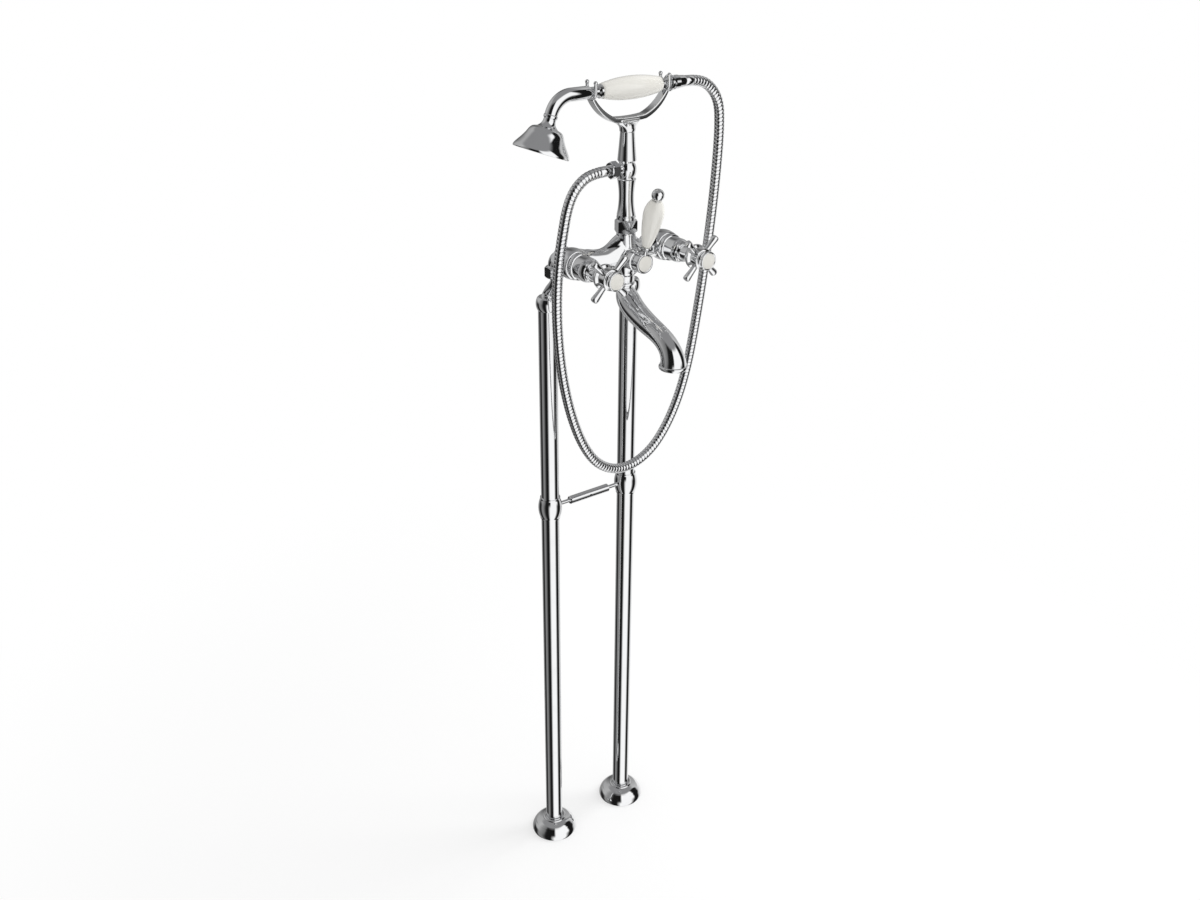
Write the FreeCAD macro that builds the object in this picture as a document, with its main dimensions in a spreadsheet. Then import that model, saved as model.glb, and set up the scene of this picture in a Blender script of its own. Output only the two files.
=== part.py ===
import FreeCAD, Part
import math
import os
import Sketcher
from FreeCAD import Placement, Rotation, Vector

# Floor standing bath filler with a hand shower. Millimetres, +Z up.
# The origin is on the floor, midway between the two standpipes; the bath side is -Y.

SIZES = [
    # layout
    ("pipe_spacing", 140.0),      # between the standpipe centres
    ("valve_spacing", 150.0),     # between the valve centres
    ("neck_reach", 25.5),         # from the standpipe centre forward to the union centre
    ("body_reach", 81.0),         # from the standpipe centre forward to the column centre
    ("valve_rise", 71.0),         # valve centres above the tops of the standpipes
    ("seat_gap", 0.1),            # between round faces of fixed pieces
    ("run_gap", 0.06),            # round a turning shaft
    ("free_gap", 0.4),            # between pieces that move past each other
    # floor plates, flanges and standpipes
    ("plate_radius", 33.0),
    ("plate_thick", 4.0),
    ("plate_boss_radius", 18.0),
    ("plate_boss_top", 19.0),
    ("inlet_radius", 9.3),
    ("inlet_length", 8.0),
    ("screw_spacing", 50.0),
    ("screw_radius", 2.75),
    ("flange_radius", 36.5),
    ("flange_wall", 1.8),
    ("flange_rim", 6.5),
    ("flange_step_radius", 30.0),
    ("flange_step_level", 14.0),
    ("flange_neck_radius", 20.5),
    ("flange_top", 26.0),
    ("pipe_radius", 13.45),
    ("pipe_wall", 1.5),
    ("pipe_top", 934.0),
    # stay between the standpipes
    ("stay_level", 615.5),
    ("stay_collar_height", 34.0),
    ("stay_collar_end_radius", 14.9),
    ("stay_collar_radius", 17.7),
    ("stay_rod_radius", 2.9),
    ("stay_rod_bite", 16.0),
    ("turnbuckle_length", 71.0),
    ("turnbuckle_radius", 6.1),
    ("tommy_radius", 2.0),
    ("grub_radius", 2.5),
    # caps, swan necks, union nuts and elbows
    ("cap_skirt", 12.0),          # how far the cap comes down over the pipe
    ("cap_height", 19.0),
    ("cap_radius", 16.3),
    ("cap_base_radius", 13.9),
    ("cap_top_radius", 14.4),
    ("neck_radius", 9.0),
    ("neck_wall", 1.5),
    ("neck_foot", 3.0),
    ("neck_rise", 14.0),
    ("neck_lean", 21.0),
    ("neck_bend", 14.0),
    ("union_drop", 29.0),         # lower edge of the union nut below the valve centres
    ("union_height", 15.0),
    ("union_flats", 24.0),
    ("elbow_radius", 9.2),
    ("elbow_bore", 6.5),
    ("elbow_bend", 13.0),
    ("inlet_nut_flats", 30.0),
    ("inlet_nut_width", 8.0),
    # mixer body
    ("bulb_front", 79.0),         # front faces of the bulbs, forward of the standpipe centres
    ("bulb_length", 32.0),
    ("bulb_radius", 20.8),
    ("bulb_back_radius", 15.8),
    ("bulb_front_radius", 19.6),
    ("bulb_bore", 10.0),
    ("arm_root", 9.5),
    ("arm_waist", 3.9),
    ("arm_lift", 10.2),           # arm waist above the valve centres
    ("arm_crest", 11.5),          # half height of the arm where it meets the column
    ("core_drop", 24.0),          # ends of the core below and above the valve centres
    ("core_rise", 33.0),
    ("core_base_radius", 11.5),
    ("core_radius", 13.6),
    ("core_top_radius", 12.6),
    ("core_bore", 6.0),
    # valves
    ("bonnet_length", 33.5),
    ("bonnet_ring_radius", 18.4),
    ("bonnet_ring_width", 7.5),
    ("bonnet_radius", 16.2),
    ("bonnet_nose_radius", 13.4),
    ("bonnet_nose_width", 4.0),
    ("headwork_radius", 9.0),
    ("headwork_depth", 20.0),
    ("headwork_proud", 24.0),
    ("spindle_radius", 4.0),
    ("spindle_proud", 64.0),
    ("spindle_depth", 10.0),
    ("hub_neck_radius", 10.6),
    ("hub_radius", 16.2),
    ("hub_face_radius", 13.2),
    ("hub_start", 34.0),
    ("hub_neck_end", 43.0),
    ("hub_shoulder", 54.0),
    ("hub_band", 4.5),
    ("hub_end", 71.0),
    ("arm_plane", 67.0),
    ("handle_radius", 35.0),
    ("handle_arm_radius", 3.8),
    ("handle_arm_root_radius", 3.2),
    ("cup_flange_radius", 14.2),
    ("cup_flange_width", 2.6),
    ("cup_radius", 12.5),
    ("cup_width", 8.5),
    ("index_radius", 11.5),
    ("index_thick", 2.6),
    ("index_crown", 0.9),
    ("index_proud", 0.6),
    ("handle_screw_radius", 2.0),
    ("handle_screw_length", 9.0),
    # diverter and its lever
    ("diverter_boss_radius", 13.0),
    ("diverter_boss_reach", 17.0),
    ("diverter_bonnet_radius", 14.2),
    ("diverter_bonnet_length", 14.0),
    ("diverter_hub_radius", 13.4),
    ("diverter_hub_width", 9.5),
    ("diverter_spindle_radius", 4.0),
    ("lever_rake", 16.5),         # degrees forward of upright
    ("lever_stem_radius", 3.1),
    ("lever_stem_end", 20.0),
    ("lever_cup_radius", 6.6),
    ("lever_cup_end", 25.0),
    ("lever_grip_foot_radius", 6.2),
    ("lever_grip_radius", 13.4),
    ("lever_grip_head_radius", 7.0),
    ("lever_grip_length", 66.0),
    ("lever_ball_radius", 8.3),
    ("lever_ball_seat_radius", 5.2),
    # column
    ("collar_height", 17.0),
    ("collar_flats", 26.4),
    ("vase_height", 53.6),
    ("vase_foot_radius", 12.6),
    ("vase_foot_height", 5.5),
    ("vase_waist_radius", 9.95),
    ("vase_head_radius", 12.3),
    ("ball_height", 20.9),
    ("ball_neck_radius", 10.3),
    ("ball_radius", 12.75),
    ("shaft_height", 38.0),
    ("shaft_radius", 12.4),
    ("shaft_top_radius", 9.4),
    ("port_radius", 5.0),
    ("port_bore", 3.5),
    ("port_reach", 26.0),
    ("port_drop", 8.0),
    # cradle
    ("cradle_neck_radius", 10.3),
    ("cradle_neck_height", 13.0),
    ("cradle_thick", 6.0),
    ("cradle_width", 13.0),
    ("cradle_foot", 25.0),        # half width of the flat middle of the strap
    ("fork_left", 56.5),
    ("fork_right", 58.5),
    ("fork_wire", 2.1),
    ("fork_rise", 11.5),
    ("fork_tip_radius", 2.7),
    # hand shower
    ("handset_rise", 40.5),       # handset axis above the cradle's neck
    ("handset_neck_radius", 6.2),
    ("grip_left", 42.0),
    ("grip_right", 50.5),
    ("grip_radius", 14.5),
    ("grip_end_radius", 9.4),
    ("ferrule_radius", 8.6),
    ("ferrule_width", 6.0),
    ("tail_ferrule_width", 3.0),
    ("tube_radius", 7.0),
    ("tube_bore", 5.5),
    ("tube_start", 62.0),
    ("tube_run", 25.5),
    ("tube_bend", 30.0),
    ("tube_turn", 70.0),          # degrees of turn from the grip to the rose
    ("tail_disc_radius", 10.5),
    ("tail_disc_start", 64.0),
    ("tail_disc_width", 4.0),
    ("tail_end", 72.0),
    ("rose_radius", 35.6),
    ("rose_height", 31.0),
    ("rose_wall", 1.6),
    ("rose_shoulder_radius", 20.2),
    ("rose_throat_radius", 12.4),
    ("rose_neck_height", 15.5),
    ("face_thick", 2.0),
    ("face_inset", 0.6),
    ("nozzle_radius", 0.9),
    # shower hose and its fittings
    ("hose_radius", 7.0),
    ("hose_valley_radius", 6.4),
    ("hose_bore", 4.5),
    ("hose_ribs", 200.0),
    ("lower_nut_flats", 20.0),
    ("lower_nut_width", 10.0),
    ("lower_ferrule_radius", 6.6),
    ("lower_ferrule_length", 4.0),
    ("upper_nut_radius", 8.8),
    ("upper_nut_length", 18.0),
    # spout
    ("spout_nut_radius", 12.0),
    ("spout_nut_height", 17.0),
    ("spout_bead_radius", 13.4),
    ("spout_tail_radius", 8.6),
    ("spout_wall", 2.2),
    ("outlet_radius", 19.4),
    ("outlet_lip", 5.0),
    ("outlet_drop", 83.0),        # outlet below the spout nut
    ("outlet_reach", 105.0),
]

doc = FreeCAD.newDocument("BathFiller")
sheet = doc.addObject("Spreadsheet::Sheet", "Sizes")
for row, (alias, number) in enumerate(SIZES, start=1):
    sheet.set("A%d" % row, alias.replace("_", " "))
    sheet.set("B%d" % row, str(number))
    sheet.setAlias("B%d" % row, alias)
doc.recompute()


class Size:
    """A number together with the sheet formula that gives it."""

    def __init__(self, number, formula):
        self.number = float(number)
        self.formula = formula

    def __add__(self, other):
        other = size(other)
        return Size(self.number + other.number, "(%s + %s)" % (self.formula, other.formula))

    def __sub__(self, other):
        other = size(other)
        return Size(self.number - other.number, "(%s - %s)" % (self.formula, other.formula))

    def __mul__(self, other):
        other = size(other)
        return Size(self.number * other.number, "(%s * %s)" % (self.formula, other.formula))

    def __truediv__(self, other):
        other = size(other)
        return Size(self.number / other.number, "(%s / %s)" % (self.formula, other.formula))

    def __neg__(self):
        return Size(-self.number, "(0 - %s)" % self.formula)

    def __float__(self):
        return self.number

    __radd__ = __add__
    __rmul__ = __mul__

    def __rsub__(self, other):
        return size(other) - self


def size(value):
    """Wraps a plain number as a Size."""
    if isinstance(value, Size):
        return value
    return Size(value, "%.6g" % value if value >= 0 else "(0 - %.6g)" % -value)


class Sheet:
    """Gives each named cell as a Size: s.pipe_radius and so on."""

    def __getattr__(self, alias):
        return Size(sheet.get(alias), "Sizes." + alias)


class Via(tuple):
    """A point that an arc passes through between two corners of an outline."""


s = Sheet()
UP = Rotation()
FRONT = Rotation(Vector(1, 0, 0), 90)
RIGHT = Rotation(Vector(0, 1, 0), 90)
LEFT = Rotation(Vector(0, 1, 0), -90)
parts = []

# Levels and reaches that several pieces share
valve_level = s.pipe_top + s.valve_rise
union_base = valve_level - s.union_drop
core_base = valve_level - s.core_drop
core_top = valve_level + s.core_rise
boss_end = s.body_reach + s.diverter_boss_reach


def diagonal(a, b):
    """The length of the diagonal of two sides."""
    return Size(math.hypot(float(a), float(b)), "sqrt(%s^2 + %s^2)" % (a.formula, b.formula))


def place(obj, base, rotation=UP):
    """Puts an object at a point whose coordinates follow the sheet."""
    base = [size(c) for c in base]
    obj.Placement = Placement(Vector(*[c.number for c in base]), rotation)
    for axis, coordinate in zip("xyz", base):
        obj.setExpression("Placement.Base." + axis, coordinate.formula)
    return obj


def bind(obj, name, value):
    """Ties one property of an object to the sheet."""
    value = size(value)
    setattr(obj, name, value.number)
    obj.setExpression(name, value.formula)


def origin_plane(body, role):
    """Finds one of the body's own origin features."""
    for feature in body.Origin.OriginFeatures:
        if feature.Role == role:
            return feature
    raise ValueError(role)


def new_sketch(body, name, role="XZ_Plane"):
    """Starts a sketch on an origin plane of its body."""
    sketch = body.newObject("Sketcher::SketchObject", name)
    sketch.AttachmentSupport = [(origin_plane(body, role), "")]
    sketch.MapMode = "FlatFace"
    return sketch


def pin_point(sketch, geometry, vertex, point):
    """Fixes a vertex at sheet-driven coordinates of its sketch."""
    for kind, coordinate in zip(("DistanceX", "DistanceY"), point):
        coordinate = size(coordinate)
        number = sketch.addConstraint(
            Sketcher.Constraint(kind, -1, 1, geometry, vertex, coordinate.number))
        sketch.setExpression("Constraints[%d]" % number, coordinate.formula)


def flat(point):
    """A sketch point as a vector."""
    return Vector(float(point[0]), float(point[1]), 0)


def outline(sketch, points):
    """Draws a closed loop of lines and of arcs through Via points."""
    count = len(points)
    ends = []
    for i, point in enumerate(points):
        if isinstance(point, Via):
            continue
        following = points[(i + 1) % count]
        if not isinstance(following, Via):
            edge = sketch.addGeometry(Part.LineSegment(flat(point), flat(following)))
            pin_point(sketch, edge, 1, point)
            ends.append((edge, 1, 2))
            continue
        last = points[(i + 2) % count]
        edge = sketch.addGeometry(Part.Arc(flat(point), flat(following), flat(last)))
        turn = (flat(following) - flat(point)).cross(flat(last) - flat(following)).z
        first_vertex, last_vertex = (1, 2) if turn > 0 else (2, 1)
        pin_point(sketch, edge, first_vertex, point)
        middle = sketch.addGeometry(Part.Point(flat(following)), True)
        pin_point(sketch, middle, 1, following)
        sketch.addConstraint(Sketcher.Constraint("PointOnObject", middle, 1, edge))
        ends.append((edge, first_vertex, last_vertex))
    for i, (edge, _, last_vertex) in enumerate(ends):
        following, first_vertex, _ = ends[(i + 1) % len(ends)]
        sketch.addConstraint(
            Sketcher.Constraint("Coincident", edge, last_vertex, following, first_vertex))


def circle(sketch, radius, centre=(0, 0)):
    """Draws a circle with a sheet-driven radius."""
    radius = size(radius)
    edge = sketch.addGeometry(Part.Circle(flat(centre), Vector(0, 0, 1), radius.number))
    number = sketch.addConstraint(Sketcher.Constraint("Radius", edge, radius.number))
    sketch.setExpression("Constraints[%d]" % number, radius.formula)
    pin_point(sketch, edge, 3, centre)


def turned(label, points, base=(0, 0, 0), rotation=UP):
    """A piece turned on a lathe: the outline holds (radius, distance along the axis)."""
    body = doc.addObject("PartDesign::Body", label)
    sketch = new_sketch(body, label + "_profile")
    outline(sketch, points)
    turn = body.newObject("PartDesign::Revolution", label + "_turn")
    turn.Profile = sketch
    turn.ReferenceAxis = (sketch, ["V_Axis"])
    turn.Angle = 360.0
    return place(body, base, rotation)


def padded(label, points, width, base=(0, 0, 0), rotation=UP):
    """A plate of an outline in XZ, extended evenly to both sides of that plane."""
    body = doc.addObject("PartDesign::Body", label)
    sketch = new_sketch(body, label + "_outline")
    outline(sketch, points)
    pad = body.newObject("PartDesign::Pad", label + "_pad")
    pad.Profile = sketch
    pad.Midplane = True
    bind(pad, "Length", width)
    return place(body, base, rotation)


def piped(label, corners, bend, rings, base=(0, 0, 0), rotation=UP):
    """A bent tube: the route leaves the origin along +Z and turns at each corner."""
    body = doc.addObject("PartDesign::Body", label)
    route = new_sketch(body, label + "_route")
    bend = size(bend)
    spots = [flat(c) for c in corners]
    cuts = []
    for i in range(1, len(spots) - 1):
        before = (spots[i] - spots[i - 1]).normalize()
        after = (spots[i + 1] - spots[i]).normalize()
        turn = before.getAngle(after)
        trim = bend.number * math.tan(turn / 2)
        start = spots[i] - before * trim
        end = spots[i] + after * trim
        halfway = (after - before).normalize()
        middle = spots[i] + halfway * (bend.number / math.cos(turn / 2) - bend.number)
        cuts.append((start, middle, end))
    lines = []
    arcs = []
    here = spots[0]
    for start, middle, end in cuts:
        lines.append(route.addGeometry(Part.LineSegment(here, start)))
        arcs.append(route.addGeometry(Part.Arc(start, middle, end)))
        here = end
    lines.append(route.addGeometry(Part.LineSegment(here, spots[-1])))
    for i, (start, middle, end) in enumerate(cuts):
        ccw = (middle - start).cross(end - middle).z > 0
        first_vertex, last_vertex = (1, 2) if ccw else (2, 1)
        route.addConstraint(
            Sketcher.Constraint("Tangent", lines[i], 2, arcs[i], first_vertex))
        route.addConstraint(
            Sketcher.Constraint("Tangent", arcs[i], last_vertex, lines[i + 1], 1))
        number = route.addConstraint(Sketcher.Constraint("Radius", arcs[i], bend.number))
        route.setExpression("Constraints[%d]" % number, bend.formula)
        corner = route.addGeometry(Part.Point(spots[i + 1]), True)
        pin_point(route, corner, 1, corners[i + 1])
        route.addConstraint(Sketcher.Constraint("PointOnObject", corner, 1, lines[i]))
        route.addConstraint(Sketcher.Constraint("PointOnObject", corner, 1, lines[i + 1]))
    pin_point(route, lines[0], 1, corners[0])
    pin_point(route, lines[-1], 2, corners[-1])
    section = new_sketch(body, label + "_section", "XY_Plane")
    for radius in rings:
        circle(section, radius)
    pipe = body.newObject("PartDesign::AdditivePipe", label + "_pipe")
    pipe.Profile = section
    pipe.Spine = (route, ["Edge%d" % (i + 1) for i in range(len(lines) + len(arcs))])
    return place(body, base, rotation)


def lofted(label, sections, rotation_axis, base=(0, 0, 0)):
    """A smooth piece through circles: each is (radius, (x, y, z), tilt in degrees)."""
    body = doc.addObject("PartDesign::Body", label)
    rings = []
    for i, (radius, centre, tilt) in enumerate(sections):
        ring = new_sketch(body, "%s_ring%d" % (label, i), "XY_Plane")
        centre = [size(c) for c in centre]
        ring.AttachmentOffset = Placement(Vector(*[c.number for c in centre]),
                                          Rotation(rotation_axis, tilt))
        for axis, coordinate in zip("xyz", centre):
            ring.setExpression("AttachmentOffset.Base." + axis, coordinate.formula)
        circle(ring, radius)
        rings.append(ring)
    loft = body.newObject("PartDesign::AdditiveLoft", label + "_loft")
    loft.Profile = rings[0]
    loft.Sections = rings[1:]
    return place(body, base)


def rod(label, radius, length, base, rotation=UP):
    """A plain cylinder."""
    obj = doc.addObject("Part::Cylinder", label)
    bind(obj, "Radius", radius)
    bind(obj, "Height", length)
    return place(obj, base, rotation)


def ball(label, radius, base):
    """A plain ball."""
    obj = doc.addObject("Part::Sphere", label)
    bind(obj, "Radius", radius)
    return place(obj, base)


def hexagon(label, flats, length, base, rotation=UP):
    """A six-sided bar, measured across its flats."""
    obj = doc.addObject("Part::Prism", label)
    obj.Polygon = 6
    bind(obj, "Circumradius", size(flats) / (2 * math.cos(math.pi / 6)))
    bind(obj, "Height", length)
    return place(obj, base, rotation)


def fused(label, pieces):
    """One solid made of several."""
    obj = doc.addObject("Part::MultiFuse", label)
    obj.Shapes = pieces
    return obj


def minus(label, piece, tools):
    """A piece with others cut out of it."""
    obj = doc.addObject("Part::Cut", label)
    obj.Base = piece
    obj.Tool = tools[0] if len(tools) == 1 else fused(label + "_tools", tools)
    return obj


def shared(label, one, other):
    """What two pieces have in common."""
    obj = doc.addObject("Part::Common", label)
    obj.Base = one
    obj.Tool = other
    return obj


def keep(obj, node):
    """Names a finished sub-part."""
    obj.Label = node
    parts.append((node, obj))
    return obj


def nut(label, flats, width, bore, base, rotation=UP, spin=0.0):
    """A hexagon nut with its corners rounded off at both ends."""
    flats = size(flats)
    width = size(width)
    corner = flats / (2 * math.cos(math.pi / 6)) + 0.2
    blank = turned(label + "_blank", [
        (bore, 0), (flats / 2 - 0.4, 0), (corner, flats * 0.08), (corner, width - flats * 0.08),
        (flats / 2 - 0.4, width), (bore, width)], base, rotation)
    bar = hexagon(label + "_bar", flats, width, base, rotation * Rotation(Vector(0, 0, 1), spin))
    return shared(label, blank, bar)


SIDES = (("left", -1), ("right", 1))

# Floor plates, flanges and standpipes
pipe_bore = s.pipe_radius - s.pipe_wall
for side, sign in SIDES:
    x = s.pipe_spacing * (sign / 2)
    plate = turned("plate_blank_" + side, [
        (s.inlet_radius, 0), (s.plate_radius, 0), (s.plate_radius, s.plate_thick),
        (s.plate_boss_radius, s.plate_thick), (s.plate_boss_radius, s.plate_boss_top),
        (s.pipe_radius + s.seat_gap, s.plate_boss_top),
        (s.pipe_radius + s.seat_gap, s.inlet_length), (s.inlet_radius, s.inlet_length)],
        (x, 0, 0))
    holes = [rod("plate_hole_%s_%s" % (end, side), s.screw_radius, s.plate_thick + 2,
                 (x, s.screw_spacing * (way / 2), -1))
             for end, way in (("front", -1), ("back", 1))]
    keep(minus("floor_plate_" + side, plate, holes), "floor_plate_" + side)

    inner = s.flange_radius - s.flange_wall
    keep(turned("floor_flange_" + side, [
        (inner, 0),
        (s.flange_radius, 0),
        (s.flange_radius, s.flange_rim),
        (s.flange_radius - 1.5, s.flange_rim + 1.5),
        Via((s.flange_step_radius + 1.2, s.flange_rim + 2.8)),
        (s.flange_step_radius, s.flange_step_level - 1),
        (s.flange_step_radius - 1, s.flange_step_level),
        Via((s.flange_neck_radius + 3.2, s.flange_top - 7.5)),
        (s.flange_neck_radius, s.flange_top - 2),
        (s.flange_neck_radius - 2, s.flange_top),
        (s.pipe_radius + s.seat_gap, s.flange_top),
        (s.pipe_radius + s.seat_gap, s.flange_top - 2.2),
        (s.flange_neck_radius - 1.8, s.flange_top - 3.8),
        Via((s.flange_neck_radius + 1.5, s.flange_top - 8.8)),
        (s.flange_step_radius - 3, s.flange_step_level - 1.8),
        (s.flange_step_radius - 2, s.flange_rim + 1.5),
        (inner, s.flange_rim - 1)], (x, 0, 0)), "floor_flange_" + side)

    keep(turned("standpipe_" + side, [
        (pipe_bore, s.inlet_length), (s.pipe_radius, s.inlet_length),
        (s.pipe_radius, s.pipe_top), (pipe_bore, s.pipe_top)], (x, 0, 0)), "standpipe_" + side)

# Stay: a collar round each standpipe and a long nut that draws two rods together
collar_half = s.stay_collar_height / 2
for side, sign in SIDES:
    x = s.pipe_spacing * (sign / 2)
    inward, outward = (RIGHT, LEFT) if sign < 0 else (LEFT, RIGHT)
    blank = turned("stay_collar_blank_" + side, [
        (s.pipe_radius + s.seat_gap, -collar_half), (s.stay_collar_end_radius, -collar_half),
        (s.stay_collar_end_radius, 2 - collar_half),
        Via((s.stay_collar_radius, 0)),
        (s.stay_collar_end_radius, collar_half - 2),
        (s.stay_collar_end_radius, collar_half), (s.pipe_radius + s.seat_gap, collar_half)],
        (x, 0, s.stay_level))
    socket = rod("stay_socket_" + side, s.stay_rod_radius + s.seat_gap, 12,
                 (x - s.pipe_radius * sign, 0, s.stay_level), inward)
    thread = rod("stay_thread_" + side, s.grub_radius + s.seat_gap, 12,
                 (x, s.pipe_radius, s.stay_level), Rotation(Vector(1, 0, 0), -90))
    keep(minus("stay_collar_" + side, blank, [socket, thread]), "stay_collar_" + side)

    rod_length = (s.pipe_spacing - s.turnbuckle_length) / 2 - s.pipe_radius - 0.4 + s.stay_rod_bite
    keep(turned("stay_rod_" + side, [
        (0, 0), (s.stay_rod_radius, 0), (s.stay_rod_radius, rod_length - 1),
        (s.stay_rod_radius - 1, rod_length), (0, rod_length)],
        (x - (s.pipe_radius + 0.4) * sign, 0, s.stay_level), inward), "stay_rod_" + side)

    grub = turned("grub_blank_" + side, [
        (0, 0.4), (s.grub_radius, 0.4), (s.grub_radius, 4.0), (0, 4.0)],
        (x, s.pipe_radius, s.stay_level), Rotation(Vector(1, 0, 0), -90))
    key = hexagon("grub_key_" + side, 2.5, 2.5, (x, s.pipe_radius + 2.5, s.stay_level),
                  Rotation(Vector(1, 0, 0), -90))
    minus("grub_" + side, grub, [key])

grubs = doc.addObject("Part::Compound", "stay_grub_screws")
grubs.Links = [doc.getObject("grub_left"), doc.getObject("grub_right")]
keep(grubs, "stay_grub_screws")

nut_half = s.turnbuckle_length / 2
tube = turned("turnbuckle_blank", [
    (s.stay_rod_radius + s.seat_gap, -nut_half), (s.turnbuckle_radius - 1.2, -nut_half),
    (s.turnbuckle_radius, 1.2 - nut_half), (s.turnbuckle_radius, nut_half - 1.2),
    (s.turnbuckle_radius - 1.2, nut_half), (s.stay_rod_radius + s.seat_gap, nut_half)],
    (0, 0, s.stay_level), RIGHT)
tommy = rod("tommy_hole", s.tommy_radius, s.turnbuckle_radius * 2 + 4,
            (0, s.turnbuckle_radius + 2, s.stay_level), FRONT)
keep(minus("stay_turnbuckle", tube, [tommy]), "stay_turnbuckle")

# Cap nuts, swan necks, union nuts and inlet elbows
neck_bore = s.neck_radius - s.neck_wall
foot_top = s.pipe_top + s.neck_foot
cap_base = s.pipe_top - s.cap_skirt
cap_top = cap_base + s.cap_height
union_split = union_base + s.union_height * 0.6
for side, sign in SIDES:
    x = s.pipe_spacing * (sign / 2)
    valve_x = s.valve_spacing * (sign / 2)
    keep(turned("pipe_cap_" + side, [
        (s.pipe_radius + s.seat_gap, cap_base),
        (s.cap_base_radius, cap_base),
        Via((s.cap_radius, cap_base + s.cap_height * 0.55)),
        (s.cap_top_radius, cap_top - 1.5),
        (s.cap_top_radius - 1.5, cap_top),
        (s.neck_radius + s.seat_gap, cap_top),
        (s.neck_radius + s.seat_gap, foot_top + 0.2),
        (s.pipe_radius + s.seat_gap, foot_top + 0.2)], (x, 0, 0)), "pipe_cap_" + side)

    spread = (s.valve_spacing - s.pipe_spacing) / 2
    run = diagonal(spread, s.neck_reach)
    heading = math.degrees(math.atan2(-float(s.neck_reach), sign * float(spread)))
    tube = piped("swan_tube_" + side, [
        (0, 0), (0, s.neck_rise), (run, s.neck_rise + s.neck_lean),
        (run, union_split - s.pipe_top)], s.neck_bend, [s.neck_radius, neck_bore],
        (x, 0, s.pipe_top), Rotation(Vector(0, 0, 1), heading))
    foot = turned("swan_foot_" + side, [
        (neck_bore, 0), (s.pipe_radius - 0.3, 0), (s.pipe_radius - 0.3, s.neck_foot),
        (neck_bore, s.neck_foot)], (x, 0, s.pipe_top))
    collar = turned("swan_collar_" + side, [
        (neck_bore, union_split - 3), (s.neck_radius + 1.6, union_split - 3),
        (s.neck_radius + 1.6, union_split), (neck_bore, union_split)],
        (valve_x, -s.neck_reach, 0))
    keep(fused("swan_neck_" + side, [tube, foot, collar]), "swan_neck_" + side)

    blank = nut("union_blank_" + side, s.union_flats, s.union_height,
                s.neck_radius + s.seat_gap, (valve_x, -s.neck_reach, union_base), UP, 30)
    room = rod("union_room_" + side, s.neck_radius + 1.8, s.union_height,
               (valve_x, -s.neck_reach, union_split - 3.2))
    keep(minus("union_nut_" + side, blank, [room]), "union_nut_" + side)

    elbow_start = union_split
    back_face = s.bulb_front - s.bulb_length
    elbow = piped("elbow_tube_" + side, [
        (0, 0), (0, valve_level - elbow_start), (back_face - s.neck_reach,
                                                   valve_level - elbow_start)],
        s.elbow_bend, [s.elbow_radius, s.elbow_bore],
        (valve_x, -s.neck_reach, elbow_start), Rotation(Vector(0, 0, 1), -90))
    thread = turned("elbow_thread_" + side, [
        (s.elbow_bore, 0), (s.neck_radius + 1.6, 0), (s.neck_radius + 1.6, s.union_height * 0.4),
        (s.elbow_radius - 0.5, s.union_height * 0.4 + 2), (s.elbow_bore, s.union_height * 0.4 + 2)],
        (valve_x, -s.neck_reach, elbow_start))
    backnut = nut("elbow_nut_" + side, s.inlet_nut_flats, s.inlet_nut_width,
                  s.elbow_radius - 1, (valve_x, s.inlet_nut_width - back_face, valve_level),
                  FRONT, 0)
    keep(fused("inlet_elbow_" + side, [elbow, thread, backnut]), "inlet_elbow_" + side)

# Mixer body: two bulbs, a core and the slender arms between them
core_x = s.valve_spacing / 2
bulbs = []
bores = []
for side, sign in SIDES:
    valve_x = core_x * sign
    back_y = s.bulb_length - s.bulb_front
    bulbs.append(turned("bulb_" + side, [
        (0, 0), (s.bulb_back_radius - 2, 0), (s.bulb_back_radius, 2),
        Via((s.bulb_radius, s.bulb_length * 0.6)),
        (s.bulb_front_radius, s.bulb_length - 1.2),
        (s.bulb_front_radius - 1.2, s.bulb_length), (0, s.bulb_length)],
        (valve_x, back_y, valve_level), FRONT))
    bores.append(rod("bulb_bore_" + side, s.bulb_bore, s.headwork_depth,
                     (valve_x, s.headwork_depth - s.bulb_front, valve_level), FRONT))
    bores.append(rod("bulb_inlet_" + side, s.elbow_bore, s.bulb_length,
                     (valve_x, back_y, valve_level), FRONT))
    slope = (s.body_reach - s.bulb_front + s.bulb_length * 0.46875) / core_x
    level = valve_level
    stations = [
        (s.arm_root, 66.0, level + 8.5),
        (s.arm_root * 0.72, 54.0, level + 9.0),
        (s.arm_waist + 0.6, 44.0, level + s.arm_lift - 0.4),
        (s.arm_waist, 36.0, level + s.arm_lift + 0.4),
        (s.arm_waist + 0.9, 28.0, level + s.arm_lift + 2.6),
        (s.arm_waist + 3.6, 20.0, level + s.arm_lift + 5.6),
        (s.arm_crest - 1.2, 11.0, level + s.arm_lift + 9.6),
        (s.arm_crest - 0.6, 4.0, level + s.arm_lift + 10.6),
    ]
    rings = []
    for radius, from_core, height in stations:
        along = core_x * (from_core / 75.0)
        rings.append((radius, (along * sign, along * slope - s.body_reach, height), 90.0))
    bulbs.append(lofted("body_arm_" + side, rings, Vector(0, 1, 0)))
core = turned("body_core", [
    (0, core_base), (s.core_base_radius, core_base),
    (s.core_base_radius, core_base + 3), Via((s.core_radius - 0.4, core_base + 8)),
    (s.core_radius, core_base + 14), (s.core_radius, core_top - 18),
    Via((s.core_top_radius + 0.2, core_top - 9)),
    (s.core_top_radius, core_top), (0, core_top)], (0, -s.body_reach, 0))
boss = turned("body_boss", [
    (0, 0), (s.diverter_boss_radius, 0),
    (s.diverter_boss_radius, s.diverter_boss_reach - 1),
    (s.diverter_boss_radius - 1, s.diverter_boss_reach),
    (0, s.diverter_boss_reach)], (0, -s.body_reach, valve_level), FRONT)
core_way = rod("body_way", s.core_bore, core_top - core_base + 2,
               (0, -s.body_reach, core_base - 1))
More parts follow.
